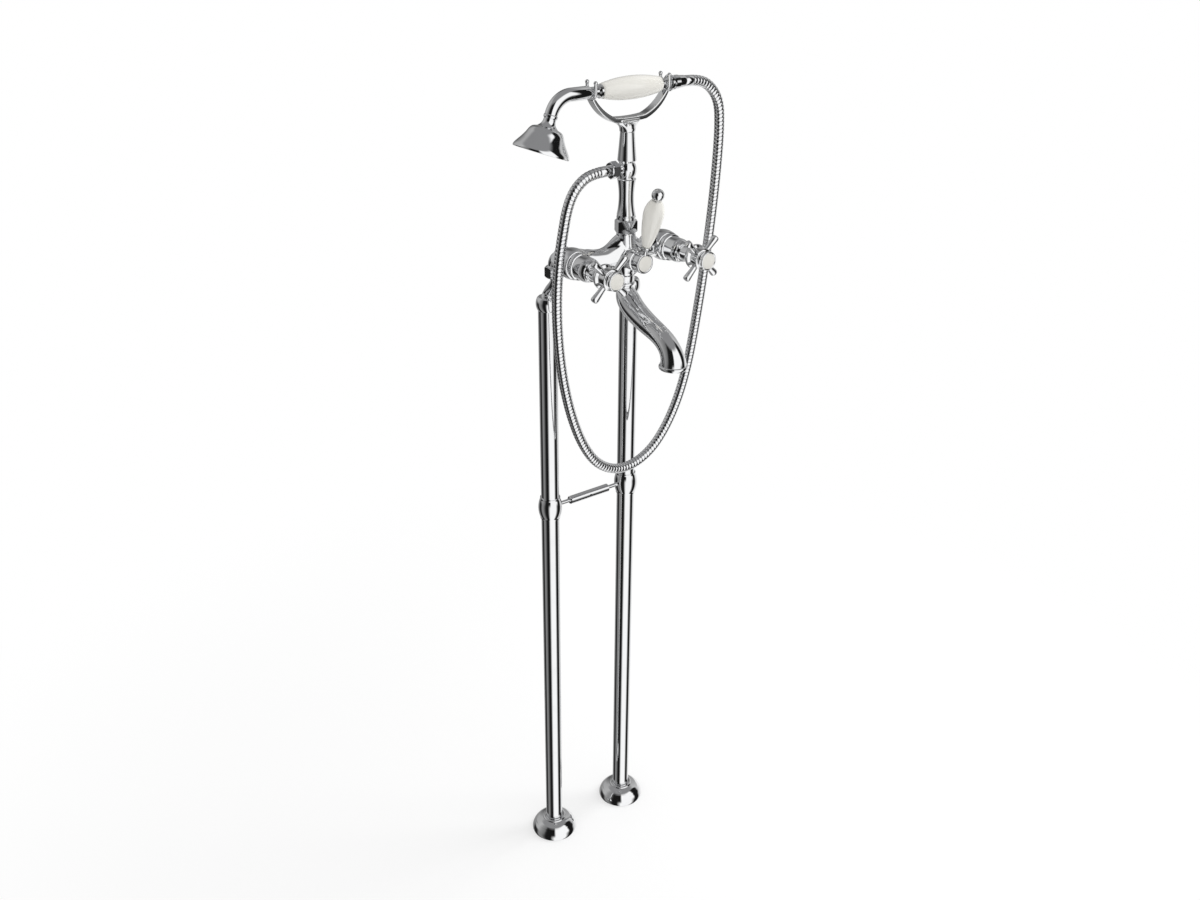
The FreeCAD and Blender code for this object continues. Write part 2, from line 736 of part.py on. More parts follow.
keep(minus("mixer_body", fused("body_whole", bulbs + [core, boss]), bores + [core_way]),
     "mixer_body")

# Valves: bonnet, headwork, spindle, cross handle, screw, index cup and index
for side, sign in SIDES:
    valve_x = core_x * sign
    face = (valve_x, -s.bulb_front, valve_level)
    nose_start = s.bonnet_length - s.bonnet_nose_width
    room = s.headwork_radius + 1
    keep(turned("valve_bonnet_" + side, [
        (room, 0), (s.bonnet_ring_radius - 2, 0), (s.bonnet_ring_radius - 2, 1.5),
        (s.bonnet_ring_radius - 0.8, 1.5), Via((s.bonnet_ring_radius, s.bonnet_ring_width / 2)),
        (s.bonnet_ring_radius - 0.8, s.bonnet_ring_width),
        (s.bonnet_radius, s.bonnet_ring_width + 0.8),
        (s.bonnet_radius, nose_start - 8),
        Via((s.bonnet_radius - 0.6, nose_start - 4)),
        (s.bonnet_nose_radius - 0.6, nose_start),
        (s.bonnet_nose_radius, nose_start + 0.8),
        (s.bonnet_nose_radius, s.bonnet_length - 0.8),
        (s.bonnet_nose_radius - 0.8, s.bonnet_length),
        (s.spindle_radius + s.run_gap, s.bonnet_length),
        (s.spindle_radius + s.run_gap, nose_start - 1), (room, nose_start - 4)],
        face, FRONT), "valve_bonnet_" + side)
    keep(turned("valve_headwork_" + side, [
        (s.spindle_radius + s.run_gap, -s.spindle_depth - 2.0),
        (s.spindle_radius + s.run_gap, s.headwork_proud),
        (s.headwork_radius - 2, s.headwork_proud), (s.headwork_radius - 2, 8),
        (s.headwork_radius, 8), (s.headwork_radius, 0), (s.bulb_bore - s.seat_gap, 0),
        (s.bulb_bore - s.seat_gap, 0.2 - s.headwork_depth), (0, 0.2 - s.headwork_depth),
        (0, -s.spindle_depth - 2.0)], face, FRONT), "valve_headwork_" + side)
    drilled = s.spindle_proud - s.handle_screw_length - 0.5
    keep(turned("valve_spindle_" + side, [
        (0, -s.spindle_depth), (s.spindle_radius, -s.spindle_depth),
        (s.spindle_radius, s.spindle_proud),
        (s.handle_screw_radius + s.seat_gap, s.spindle_proud),
        (s.handle_screw_radius + s.seat_gap, drilled), (0, drilled)],
        face, FRONT), "valve_spindle_" + side)

    hub = turned("hub_" + side, [
        (s.spindle_radius + s.seat_gap, s.hub_start), (s.hub_neck_radius, s.hub_start),
        (s.hub_neck_radius, s.hub_neck_end),
        Via((s.hub_neck_radius + 1.6, s.hub_shoulder - 4)),
        (s.hub_radius, s.hub_shoulder),
        Via((s.hub_radius + 0.5, s.hub_shoulder + s.hub_band / 2)),
        (s.hub_radius, s.hub_shoulder + s.hub_band),
        (s.hub_face_radius, s.hub_shoulder + s.hub_band + 2),
        (s.hub_face_radius, s.hub_end),
        (s.handle_screw_radius + 3.2, s.hub_end),
        (s.handle_screw_radius + 3.2, s.spindle_proud + 0.2),
        (s.spindle_radius + s.seat_gap, s.spindle_proud + 0.2)], face, FRONT)
    arms = []
    for turn in (45, 135, 225, 315):
        away = (FRONT * Rotation(Vector(0, 0, 1), turn) * Rotation(Vector(0, 1, 0), 90))
        arms.append(turned("handle_arm_%s_%d" % (side, turn), [
            (0, s.hub_face_radius - 4), (s.handle_arm_root_radius, s.hub_face_radius - 4),
            (s.handle_arm_radius, s.handle_radius - 1.0),
            (s.handle_arm_radius - 1.0, s.handle_radius), (0, s.handle_radius)],
            (valve_x, -s.bulb_front - s.arm_plane, valve_level), away))
    keep(fused("cross_handle_" + side, [hub] + arms), "cross_handle_" + side)

    keep(turned("handle_screw_" + side, [
        (0, s.spindle_proud + 0.2 - s.handle_screw_length),
        (s.handle_screw_radius, s.spindle_proud + 0.2 - s.handle_screw_length),
        (s.handle_screw_radius, s.spindle_proud + 0.2),
        (s.handle_screw_radius + 2.6, s.spindle_proud + 0.2),
        (s.handle_screw_radius + 2.6, s.spindle_proud + 2.0),
        (s.handle_screw_radius + 1.4, s.spindle_proud + 3.2),
        (0, s.spindle_proud + 3.2)], face, FRONT), "handle_screw_" + side)
    cup_end = s.hub_end + s.cup_flange_width + s.cup_width
    index_seat = cup_end - s.index_thick
    keep(turned("handle_cup_" + side, [
        (0, s.hub_end), (s.cup_flange_radius - 0.8, s.hub_end),
        (s.cup_flange_radius, s.hub_end + 0.8),
        (s.cup_flange_radius, s.hub_end + s.cup_flange_width - 0.8),
        (s.cup_flange_radius - 0.8, s.hub_end + s.cup_flange_width),
        (s.cup_radius - 1.4, s.hub_end + s.cup_flange_width + 0.6),
        Via((s.cup_radius - 1.3, s.hub_end + s.cup_flange_width + 3)),
        (s.cup_radius, cup_end - 2.5), (s.cup_radius, cup_end),
        (s.index_radius + s.seat_gap, cup_end),
        (s.index_radius + s.seat_gap, index_seat), (0, index_seat)], face, FRONT),
        "handle_cup_" + side)
    keep(turned("handle_index_" + side, [
        (0, index_seat), (s.index_radius, index_seat),
        (s.index_radius, cup_end + s.index_proud - 0.4),
        (s.index_radius - 0.8, cup_end + s.index_proud),
        Via((s.index_radius * 0.55, cup_end + s.index_proud + s.index_crown * 0.72)),
        (1, cup_end + s.index_proud + s.index_crown),
        (0, cup_end + s.index_proud + s.index_crown)], face, FRONT), "handle_index_" + side)

# Diverter: bonnet, spindle, hub with its index, and the lever
boss_face = (0, -boss_end, valve_level)
length = s.diverter_bonnet_length
keep(turned("diverter_bonnet", [
    (s.diverter_spindle_radius + s.run_gap, 0), (s.diverter_bonnet_radius - 1.5, 0),
    (s.diverter_bonnet_radius - 1.5, 1.5), (s.diverter_bonnet_radius, 2.2),
    (s.diverter_bonnet_radius, length - 4), (s.diverter_bonnet_radius - 1.2, length - 3.2),
    (s.diverter_bonnet_radius - 1.2, length - 2), (s.diverter_bonnet_radius - 0.6, length - 1.4),
    (s.diverter_bonnet_radius - 0.6, length), (s.diverter_spindle_radius + s.run_gap, length)],
    boss_face, FRONT), "diverter_bonnet")
hub_start = length + s.free_gap
hub_end = hub_start + s.diverter_hub_width
index_seat = hub_end - 1.6
keep(turned("diverter_spindle", [
    (0, 0.4), (s.diverter_spindle_radius, 0.4), (s.diverter_spindle_radius, hub_end - 5),
    (0, hub_end - 5)], boss_face, FRONT), "diverter_spindle")
hub = turned("diverter_hub_blank", [
    (s.diverter_spindle_radius + s.seat_gap, hub_start),
    (s.diverter_hub_radius - 0.8, hub_start), (s.diverter_hub_radius, hub_start + 0.8),
    (s.diverter_hub_radius, hub_end - 0.8), (s.diverter_hub_radius - 0.8, hub_end),
    (s.index_radius + s.seat_gap, hub_end), (s.index_radius + s.seat_gap, index_seat),
    (0, index_seat), (0, hub_end - 5), (s.diverter_spindle_radius + s.seat_gap, hub_end - 5)],
    boss_face, FRONT)
lever_turn = Rotation(Vector(1, 0, 0), float(s.lever_rake))
lever_y = -boss_end - (hub_start + hub_end) / 2
lever_base = (0, lever_y, valve_level)
stem = turned("lever_boss", [
    (0, s.diverter_hub_radius - 4), (s.lever_stem_radius + 1, s.diverter_hub_radius - 4),
    (s.lever_stem_radius + 1, s.diverter_hub_radius + 1.4),
    (0, s.diverter_hub_radius + 1.4)], lever_base, lever_turn)
slot_room = rod("diverter_index_room", s.index_radius + s.seat_gap, 8,
                (0, -boss_end - index_seat, valve_level), FRONT)
keep(minus("diverter_hub", fused("diverter_hub_whole", [hub, stem]), [slot_room]), "diverter_hub")
keep(turned("diverter_index", [
    (0, index_seat), (s.index_radius, index_seat), (s.index_radius, hub_end + s.index_proud),
    (s.index_radius - 0.8, hub_end + s.index_proud + 0.4),
    Via((s.index_radius * 0.55, hub_end + s.index_proud + 0.4 + s.index_crown * 0.72)),
    (1, hub_end + s.index_proud + 0.4 + s.index_crown),
    (0, hub_end + s.index_proud + 0.4 + s.index_crown)], boss_face, FRONT), "diverter_index")

grip_start = s.lever_cup_end
grip_end = grip_start + s.lever_grip_length
keep(turned("lever_stem", [
    (0, s.diverter_hub_radius + 1.4), (s.lever_stem_radius, s.diverter_hub_radius + 1.4),
    (s.lever_stem_radius, s.lever_stem_end - 2),
    Via((s.lever_stem_radius + 0.8, s.lever_stem_end + 0.4)),
    (s.lever_cup_radius, s.lever_cup_end - 2), (s.lever_cup_radius, s.lever_cup_end),
    (0, s.lever_cup_end)], lever_base, lever_turn), "lever_stem")
keep(turned("lever_grip", [
    (0, grip_start), (s.lever_grip_foot_radius - 1.5, grip_start),
    (s.lever_grip_foot_radius, grip_start + 1.5),
    Via((s.lever_grip_radius - 1.7, grip_start + s.lever_grip_length * 0.42)),
    (s.lever_grip_radius, grip_start + s.lever_grip_length * 0.66),
    Via((s.lever_grip_radius - 1.6, grip_start + s.lever_grip_length * 0.86)),
    (s.lever_grip_head_radius, grip_end - 0.6),
    (s.lever_grip_head_radius - 0.6, grip_end), (0, grip_end)], lever_base, lever_turn),
    "lever_grip")
ball_rise = Size(math.sqrt(float(s.lever_ball_radius) ** 2 - float(s.lever_ball_seat_radius) ** 2),
                 "sqrt(Sizes.lever_ball_radius^2 - Sizes.lever_ball_seat_radius^2)")
ball_centre = grip_end + 1.0 + ball_rise
keep(turned("lever_ball", [
    (0, grip_end), (s.lever_ball_seat_radius, grip_end),
    (s.lever_ball_seat_radius, grip_end + 1.0),
    Via((s.lever_ball_radius, ball_centre)),
    (0, ball_centre + s.lever_ball_radius)], lever_base, lever_turn), "lever_ball")

# Column: collar, vase, ball with the hose port, and the shaft under the cradle
axis = (0, -s.body_reach, 0)
collar_top = core_top + s.collar_height
keep(nut("column_collar", s.collar_flats, s.collar_height, s.core_bore,
         (0, -s.body_reach, core_top), UP, 12), "column_collar")
vase_top = collar_top + s.vase_height
foot_top = collar_top + s.vase_foot_height
keep(turned("column_vase", [
    (s.port_bore, collar_top), (s.vase_foot_radius - 1.2, collar_top),
    (s.vase_foot_radius, collar_top + 1.2),
    (s.vase_foot_radius, foot_top - 1.6), (s.vase_foot_radius - 1.4, foot_top - 0.8),
    (s.vase_foot_radius - 1.4, foot_top), (s.vase_foot_radius - 0.2, foot_top + 0.8),
    Via((s.vase_waist_radius, collar_top + s.vase_height * 0.56)),
    (s.vase_head_radius, vase_top - 1.2), (s.vase_head_radius - 1.2, vase_top),
    (s.port_bore, vase_top)], axis), "column_vase")
ball_top = vase_top + s.ball_height
port_level = vase_top + s.ball_height - s.port_drop
bulge = turned("column_ball_blank", [
    (0, vase_top), (s.ball_neck_radius, vase_top), (s.ball_neck_radius, vase_top + 1.6),
    Via((s.ball_radius, vase_top + s.ball_height * 0.52)),
    (s.ball_neck_radius, ball_top - 1.6), (s.ball_neck_radius, ball_top), (0, ball_top)], axis)
port = turned("column_port", [
    (0, 0), (s.port_radius + 1.4, 0), (s.port_radius + 1.4, s.ball_radius + 0.8),
    (s.port_radius, s.ball_radius + 1.4), (s.port_radius, s.port_reach), (0, s.port_reach)],
    (0, -s.body_reach, port_level), LEFT)
port_way = rod("column_port_way", s.port_bore, s.port_reach + 1,
               (0, -s.body_reach, port_level), LEFT)
rise_way = rod("column_rise_way", s.port_bore, port_level - vase_top + 1,
               (0, -s.body_reach, vase_top - 1))
keep(minus("column_ball", fused("column_ball_whole", [bulge, port]), [port_way, rise_way]),
     "column_ball")
shaft_top = ball_top + s.shaft_height
keep(turned("column_shaft", [
    (0, ball_top), (s.shaft_radius - 1.4, ball_top), (s.shaft_radius, ball_top + 2.4),
    Via((s.shaft_radius - 1.2, ball_top + s.shaft_height * 0.4)),
    (s.shaft_top_radius, shaft_top), (0, shaft_top)], axis), "column_shaft")

# Cradle: a wide shallow strap on a flared neck, with a wire fork at each end
neck_top = shaft_top + s.cradle_neck_height
strap_top = neck_top + s.cradle_thick
handset_level = neck_top + s.handset_rise
fork_seat = handset_level - s.handset_neck_radius - s.free_gap
neck = turned("cradle_neck", [
    (0, shaft_top), (s.cradle_neck_radius - 0.8, shaft_top),
    (s.cradle_neck_radius, shaft_top + 0.8),
    Via((s.cradle_neck_radius + 0.8, neck_top - 4)),
    (s.cradle_neck_radius + 5.5, neck_top + 2.0), (0, neck_top + 2.0)], axis)
left = -s.fork_left
right = s.fork_right
half = s.cradle_thick / 2
end_level = fork_seat - s.fork_wire
strap = padded("cradle_strap", [
    (-s.cradle_foot, neck_top + 1.2),
    Via((0, neck_top)),
    (s.cradle_foot, neck_top + 1.2),
    Via((right - 13.5, neck_top + (end_level - neck_top) * 0.38)),
    (right + half - 0.4, end_level),
    (right - half + 0.4, end_level),
    Via((right - 18.2, neck_top + (end_level - neck_top) * 0.50)),
    (s.cradle_foot - 2, strap_top + 1.2),
    Via((0, strap_top)),
    (2 - s.cradle_foot, strap_top + 1.2),
    Via((left + 18.2, neck_top + (end_level - neck_top) * 0.50)),
    (left + half - 0.4, end_level),
    (left - half + 0.4, end_level),
    Via((left + 13.5, neck_top + (end_level - neck_top) * 0.38))],
    s.cradle_width, axis)
sideways = Rotation(Vector(1, 0, 0), Vector(0, 0, -1), Vector(0, 1, 0), "XYZ")
pieces = [neck, strap]
centre_gap = s.handset_neck_radius + s.free_gap + s.fork_wire
for name, x in (("left", left), ("right", right)):
    rim = turned("fork_ring_" + name, [
        (centre_gap - s.fork_wire, 0), Via((centre_gap, -s.fork_wire)),
        (centre_gap + s.fork_wire, 0), Via((centre_gap, s.fork_wire))],
        (x, -s.body_reach, handset_level), RIGHT)
    keep_low = doc.addObject("Part::Box", "fork_room_" + name)
    bind(keep_low, "Length", s.fork_wire * 2 + 2)
    bind(keep_low, "Width", centre_gap * 2 + s.fork_wire * 2 + 2)
    bind(keep_low, "Height", centre_gap + s.fork_wire + 1)
    place(keep_low, (x - s.fork_wire - 1, -s.body_reach - centre_gap - s.fork_wire - 1,
                     handset_level - centre_gap - s.fork_wire - 1))
    pieces.append(shared("fork_low_" + name, rim, keep_low))
    for end, way in (("front", -1), ("back", 1)):
        y = centre_gap * way - s.body_reach
        pieces.append(rod("fork_arm_%s_%s" % (end, name), s.fork_wire, s.fork_rise,
                          (x, y, handset_level - 0.01)))
        pieces.append(ball("fork_tip_%s_%s" % (end, name), s.fork_tip_radius,
                           (x, y, handset_level + s.fork_rise)))
keep(fused("cradle", pieces), "cradle")

# Hand shower: grip, ferrules, bent arm, bell-shaped rose and tail, on one level axis
handset = (0, -s.body_reach, handset_level)
grip_left = -s.grip_left
tie = s.tube_bore - 1.5
keep(turned("handset_grip", [
    (tie + s.seat_gap, grip_left), (s.grip_end_radius - 1, grip_left),
    (s.grip_end_radius, grip_left + 1),
    Via((s.grip_radius, (s.grip_right - s.grip_left) / 2)),
    (s.grip_end_radius, s.grip_right - 1), (s.grip_end_radius - 1, s.grip_right),
    (tie + s.seat_gap, s.grip_right)], handset, RIGHT), "handset_grip")
ferrule_end = s.grip_left + s.ferrule_width
keep(turned("grip_ferrule", [
    (tie + s.seat_gap, -ferrule_end), (s.handset_neck_radius, -ferrule_end),
    (s.ferrule_radius - 0.6, 2 - ferrule_end),
    (s.ferrule_radius, 2.6 - ferrule_end), (s.ferrule_radius, grip_left - 0.8),
    (s.ferrule_radius - 0.8, grip_left), (tie + s.seat_gap, grip_left)], handset, RIGHT),
    "grip_ferrule")

down = Rotation(Vector(0, 0, -1), Vector(0, -1, 0), Vector(-1, 0, 0), "XYZ")
turn = math.radians(float(s.tube_turn))
corner_run = float(s.tube_bend) * math.tan(turn / 2)
corner = s.tube_run + s.tube_bend * math.tan(turn / 2)
bend_end = (corner + s.tube_bend * (math.tan(turn / 2) * math.cos(turn)),
            s.tube_bend * (math.tan(turn / 2) * math.sin(turn)))
past = 1.0
tube_end = (bend_end[1] + past * math.sin(turn), bend_end[0] + past * math.cos(turn))
tube = piped("arm_tube", [(0, 0), (0, corner), tube_end], s.tube_bend,
             [s.tube_radius], (-s.tube_start, -s.body_reach, handset_level), down)
neck = turned("arm_neck", [
    (0, -s.tube_start - 3), (s.tube_radius - 1.5, -s.tube_start - 3),
    (s.tube_radius - 0.2, -s.tube_start), (s.handset_neck_radius, 1.5 - s.tube_start),
    (s.handset_neck_radius, -ferrule_end), (tie, -ferrule_end), (tie, -2.0), (0, -2.0)],
    handset, RIGHT)
keep(fused("handset_arm", [tube, neck]), "handset_arm")

# The rose hangs square to the end of the arm
rose_turn = Rotation(Vector(0, 1, 0), -90.0 - float(s.tube_turn))
rose_base = (-s.tube_start - tube_end[1], -s.body_reach, handset_level - tube_end[0])
neck_end = s.rose_neck_height
rim_end = neck_end + s.rose_height
wall = s.rose_wall
shoulder = neck_end + s.rose_height * 0.27
face_start = rim_end - s.face_inset - s.face_thick
keep(turned("rose_bell", [
    (0, 0), (s.tube_radius - 0.2, 0), (s.tube_radius + 0.8, 1.2), (s.tube_radius + 0.8, 3.6),
    (s.tube_radius + 0.2, 4.4), Via((s.tube_radius + 1.4, neck_end * 0.62)),
    (s.rose_throat_radius, neck_end),
    Via((s.rose_shoulder_radius - 2.4, neck_end + s.rose_height * 0.09)),
    (s.rose_shoulder_radius, shoulder),
    Via((s.rose_shoulder_radius + 4.6, neck_end + s.rose_height * 0.60)),
    (s.rose_radius - 2.2, rim_end - 3.6),
    Via((s.rose_radius, rim_end - 1.2)),
    (s.rose_radius - 0.6, rim_end), (s.rose_radius - wall - 1.0, rim_end),
    (s.rose_radius - wall - 1.0, face_start), (s.rose_radius - wall - 2.8, face_start),
    Via((s.rose_shoulder_radius + 2.8, neck_end + s.rose_height * 0.62)),
    (s.rose_shoulder_radius - wall, shoulder + 0.6),
    (s.rose_throat_radius - wall, neck_end + 2.2), (0, neck_end + 2.2)],
    rose_base, rose_turn), "rose_bell")
face = doc.addObject("PartDesign::Body", "rose_face")
profile = new_sketch(face, "rose_face_profile")
outline(profile, [
    (0, face_start), (s.rose_radius - wall - 1.0 - s.seat_gap * 3, face_start),
    (s.rose_radius - wall - 1.0 - s.seat_gap * 3, face_start + s.face_thick),
    (0, face_start + s.face_thick)])
disc = face.newObject("PartDesign::Revolution", "rose_face_turn")
disc.Profile = profile
disc.ReferenceAxis = (profile, ["V_Axis"])
disc.Angle = 360.0
doc.recompute()
plain = disc.Shape.Volume
for ring, count in enumerate((6, 12, 18), start=1):
    spot = new_sketch(face, "nozzle_spot_%d" % ring, "XY_Plane")
    circle(spot, s.nozzle_radius, (s.rose_radius * (ring * 0.25), 0))
    hole = face.newObject("PartDesign::Pocket", "nozzle_%d" % ring)
    hole.Profile = spot
    hole.Type = "ThroughAll"
    hole.Midplane = True
    doc.recompute()
    around = face.newObject("PartDesign::PolarPattern", "nozzle_ring_%d" % ring)
    around.Originals = [hole]
    around.Axis = (origin_plane(face, "Z_Axis"), [""])
    around.Angle = 360.0
    around.Occurrences = count
    face.Tip = around
place(face, rose_base, rose_turn)
keep(face, "rose_face")

tail_start = s.grip_right
disc_end = s.tail_disc_start + s.tail_disc_width
keep(turned("handset_tail", [
    (0, 0), (tie, 0), (tie, tail_start), (s.ferrule_radius - 0.6, tail_start),
    (s.ferrule_radius, tail_start + 0.6),
    (s.ferrule_radius, tail_start + s.tail_ferrule_width - 0.6),
    (s.handset_neck_radius, tail_start + s.tail_ferrule_width),
    (s.handset_neck_radius, s.tail_disc_start),
    (s.tail_disc_radius - 0.8, s.tail_disc_start),
    (s.tail_disc_radius, s.tail_disc_start + 0.8), (s.tail_disc_radius, disc_end - 0.8),
    (s.tail_disc_radius - 0.8, disc_end), (s.handset_neck_radius + 0.8, disc_end),
    (s.handset_neck_radius + 0.8, s.tail_end), (0, s.tail_end)], handset, RIGHT),
    "handset_tail")
upper_end = s.tail_end + s.upper_nut_length
keep(turned("hose_nut_upper", [
    (0, s.tail_end), (s.upper_nut_radius - 0.6, s.tail_end),
    (s.upper_nut_radius, s.tail_end + 0.6), (s.upper_nut_radius, s.tail_end + 7),
    (s.upper_nut_radius - 0.7, s.tail_end + 7.8),
    (s.hose_radius + 0.4, upper_end - 0.6), (s.hose_radius, upper_end), (0, upper_end)],
    handset, RIGHT), "hose_nut_upper")

# Lower hose fitting on the column's port
port_base = (0, -s.body_reach, port_level)
nut_end = s.port_reach + 1.0
nut_start = nut_end - s.lower_nut_width
lower_blank = nut("lower_nut_bar", s.lower_nut_flats, s.lower_nut_width,
                  s.port_radius + s.seat_gap, (-nut_start, -s.body_reach, port_level), LEFT, 0)
keep(lower_blank, "hose_nut_lower")
lower_end = nut_end + s.lower_ferrule_length
keep(turned("hose_ferrule_lower", [
    (0, nut_end), (s.lower_ferrule_radius, nut_end),
    (s.lower_ferrule_radius, lower_end - 3), (s.hose_radius, lower_end - 2.2),
    (s.hose_radius, lower_end), (0, lower_end)], port_base, LEFT), "hose_ferrule_lower")

# Shower hose: it hangs in one plane, from the handset's tail round to the column's port
HOSE = [
    (115.5, 1221.0), (138.0, 1209.0), (152.3, 1187.9), (155.0, 1159.0), (154.6, 1127.0),
    (152.8, 1092.0), (150, 1055), (145, 1008), (138.5, 958), (131, 908), (124, 866), (116, 826),
    (103, 783), (83, 742), (56, 709), (22, 692), (-14, 693), (-46, 713), (-69, 747), (-86, 789),
    (-98, 834), (-106, 881), (-110, 928), (-110.5, 973), (-107, 1015), (-100.5, 1051),
    (-92.3, 1087.2), (-78.6, 1108.8), (-56.5, 1121.5),
]


def route_edges(spots):
    """Straight runs joined by tangent arcs, each as large as its two runs allow."""
    pieces = []
    radii = []
    here = spots[0]
    for i in range(1, len(spots) - 1):
        before = spots[i] - spots[i - 1]
        after = spots[i + 1] - spots[i]
        turn = before.getAngle(after)
        reach = 0.45 * min(before.Length, after.Length)
        radius = reach / math.tan(turn / 2)
        start = spots[i] - Vector(before).normalize() * reach
        end = spots[i] + Vector(after).normalize() * reach
        halfway = (Vector(after).normalize() - Vector(before).normalize()).normalize()
        middle = spots[i] + halfway * (radius / math.cos(turn / 2) - radius)
        pieces.append(Part.LineSegment(here, start).toShape())
        pieces.append(Part.Arc(start, middle, end).toShape())
        radii.append(radius)
        here = end
    pieces.append(Part.LineSegment(here, spots[-1]).toShape())
    return pieces, radii


def route_point(edges, distance):
    """The point and heading of the route at a distance from its start."""
    for edge in edges:
        if distance <= edge.Length or edge is edges[-1]:
            there = edge.getParameterByLength(min(distance, edge.Length))
            return edge.valueAt(there), edge.tangentAt(there)
        distance -= edge.Length


def route_ring(edges, distance, radius):
    """A circle round the route that starts on its side, so rings never twist."""
    centre, heading = route_point(edges, distance)
    ring = Part.Circle(centre, heading, radius)
    ring.XAxis = Vector(0, 1, 0)
    return Part.Wire(ring.toShape())


spots = [Vector(float(upper_end), 0, float(handset_level))]
spots += [Vector(x, 0, z) for x, z in HOSE]
spots.append(Vector(-float(lower_end), 0, float(port_level)))
edges, radii = route_edges(spots)
route = Part.Wire(edges)
crest = float(s.hose_radius)
valley = float(s.hose_valley_radius)
sleeve = crest * 2
rib_count = int(float(s.hose_ribs))
pitch = (route.Length - 2 * sleeve) / rib_count
rings = [route_ring(edges, 0, crest), route_ring(edges, sleeve, crest)]
for rib in range(rib_count):
    for share, radius in ((0.10, valley), (0.24, crest), (0.72, crest), (0.86, valley)):
        rings.append(route_ring(edges, sleeve + (rib + share) * pitch, radius))
rings.append(route_ring(edges, route.Length - sleeve, crest))
rings.append(route_ring(edges, route.Length, crest))
ribbed = Part.makeLoft(rings, True, True)
bore = Part.Wire(Part.Circle(spots[0], Vector(1, 0, 0), float(s.hose_bore)).toShape())
hollow = ribbed.cut(route.makePipeShell([bore], True, False))
hose = doc.addObject("Part::Feature", "shower_hose")
hose.Shape = hollow.Solids[0]
place(hose, (0, -s.body_reach, 0))
keep(hose, "shower_hose")

# Each rib is two cones and a band, so the hose's volume is known; the gap is measured too
cone = math.pi / 3 * (crest ** 2 + crest * valley + valley ** 2)
skin = (math.pi * (crest ** 2 * 0.48 + valley ** 2 * 0.24) + cone * 0.28) * pitch * rib_count
skin = skin + math.pi * crest ** 2 * sleeve * 2
expected = skin - math.pi * float(s.hose_bore) ** 2 * route.Length
marks = [route_point(edges, route.Length * i / 400)[0] for i in range(401)]
apart = int(math.ceil(400 * math.pi * 3 * crest / route.Length))
gap = min((marks[i] - marks[j]).Length - 2 * crest
          for i in range(401) for j in range(i + apart, 401))
print("hose length %.1f, volume %.0f against %.0f, %d ribs, least gap to itself %.1f" % (
    route.Length, hose.Shape.Volume, expected, rib_count, gap))
print("hose radii " + " ".join("%.0f" % r for r in radii))
if not 0.98 < hose.Shape.Volume / expected < 1.02 or len(hollow.Solids) != 1:
    raise RuntimeError("the hose has not its own volume")

# Spout: a union nut, the swelling bent spout and its outlet ring
nut_top = core_base
nut_bottom = nut_top - s.spout_nut_height
keep(turned("spout_nut", [
    (s.spout_tail_radius + s.free_gap, nut_bottom), (s.spout_nut_radius - 1.2, nut_bottom),
    (s.spout_nut_radius - 0.4, nut_bottom + 3), Via((s.spout_bead_radius, nut_bottom + 5.2)),
    (s.spout_nut_radius - 0.4, nut_bottom + 7.4), (s.spout_nut_radius, nut_bottom + 8.2),
    (s.spout_nut_radius, nut_top - 0.8), (s.spout_nut_radius - 0.8, nut_top),
    (s.core_bore, nut_top), (s.core_bore, nut_top - 2),
    (s.spout_tail_radius + s.free_gap, nut_top - 2)], axis), "spout_nut")

top = nut_bottom - s.free_gap
outlet_level = nut_bottom - s.outlet_drop
end = outlet_level + s.outlet_lip
fall = top - end
reach = s.outlet_reach
SPOUT = [
    # share of the fall, share of the reach, radius over the wall, tilt in degrees
    (0.00, 0.000, 10.4, 0), (0.06, 0.012, 12.6, 10), (0.17, 0.055, 15.4, 30),
    (0.31, 0.165, 15.9, 58), (0.42, 0.330, 15.2, 73), (0.50, 0.500, 14.4, 77),
    (0.575, 0.680, 13.7, 72), (0.67, 0.835, 13.9, 55), (0.80, 0.945, 15.0, 30),
    (0.92, 0.990, 16.4, 10), (1.00, 1.000, 17.2, 0),
]
rings = []
inner = []
for down_share, out_share, swell, tilt in SPOUT:
    centre = (0, -s.body_reach - reach * out_share, top - fall * down_share)
    rings.append((s.spout_wall + (swell - 2.2), centre, -float(tilt)))
    inner.append((size(swell - 2.2) - (2.5 if down_share == 0 else 0), centre, -float(tilt)))
outside = lofted("spout_outside", rings, Vector(1, 0, 0))
inside = lofted("spout_inside", inner, Vector(1, 0, 0))
tail = turned("spout_tail", [
    (s.spout_tail_radius - 3, top - 0.5), (s.spout_tail_radius, top - 0.5),
    (s.spout_tail_radius, nut_top - 2.4), (s.spout_tail_radius - 3, nut_top - 2.4)], axis)
keep(minus("spout", fused("spout_whole", [outside, tail]), [inside]), "spout")
outlet_axis = (0, -s.body_reach - reach, 0)
keep(turned("spout_outlet", [
    (s.spout_wall + 12.6, end), (s.outlet_radius - 2.0, end),
    (s.outlet_radius - 0.6, end - 0.6), Via((s.outlet_radius, end - s.outlet_lip / 2)),
    (s.outlet_radius - 0.6, outlet_level), (s.spout_wall + 12.6, outlet_level)],
    outlet_axis), "spout_outlet")

doc.recompute()

# Nothing is written unless every object and every sub-part is sound
for obj in doc.Objects:
    for fault in ("Invalid", "Error"):
        if fault in obj.State:
            raise RuntimeError("%s: %s" % (obj.Label, obj.State))
if not face.Shape.Volume < plain:
    raise RuntimeError("the nozzles cut nothing")
for node, obj in parts:
    shape = obj.Shape
    if shape.isNull() or not shape.isValid() or shape.Volume <= 0:
        raise RuntimeError("%s has no sound shape" % node)

os.makedirs("parts", exist_ok=True)
for node, obj in parts:
    obj.Shape.exportStep("parts/%s.step" % node)
print("%d sub-parts" % len(parts))
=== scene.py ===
import math

import bmesh
import bpy
from mathutils import Matrix, Vector


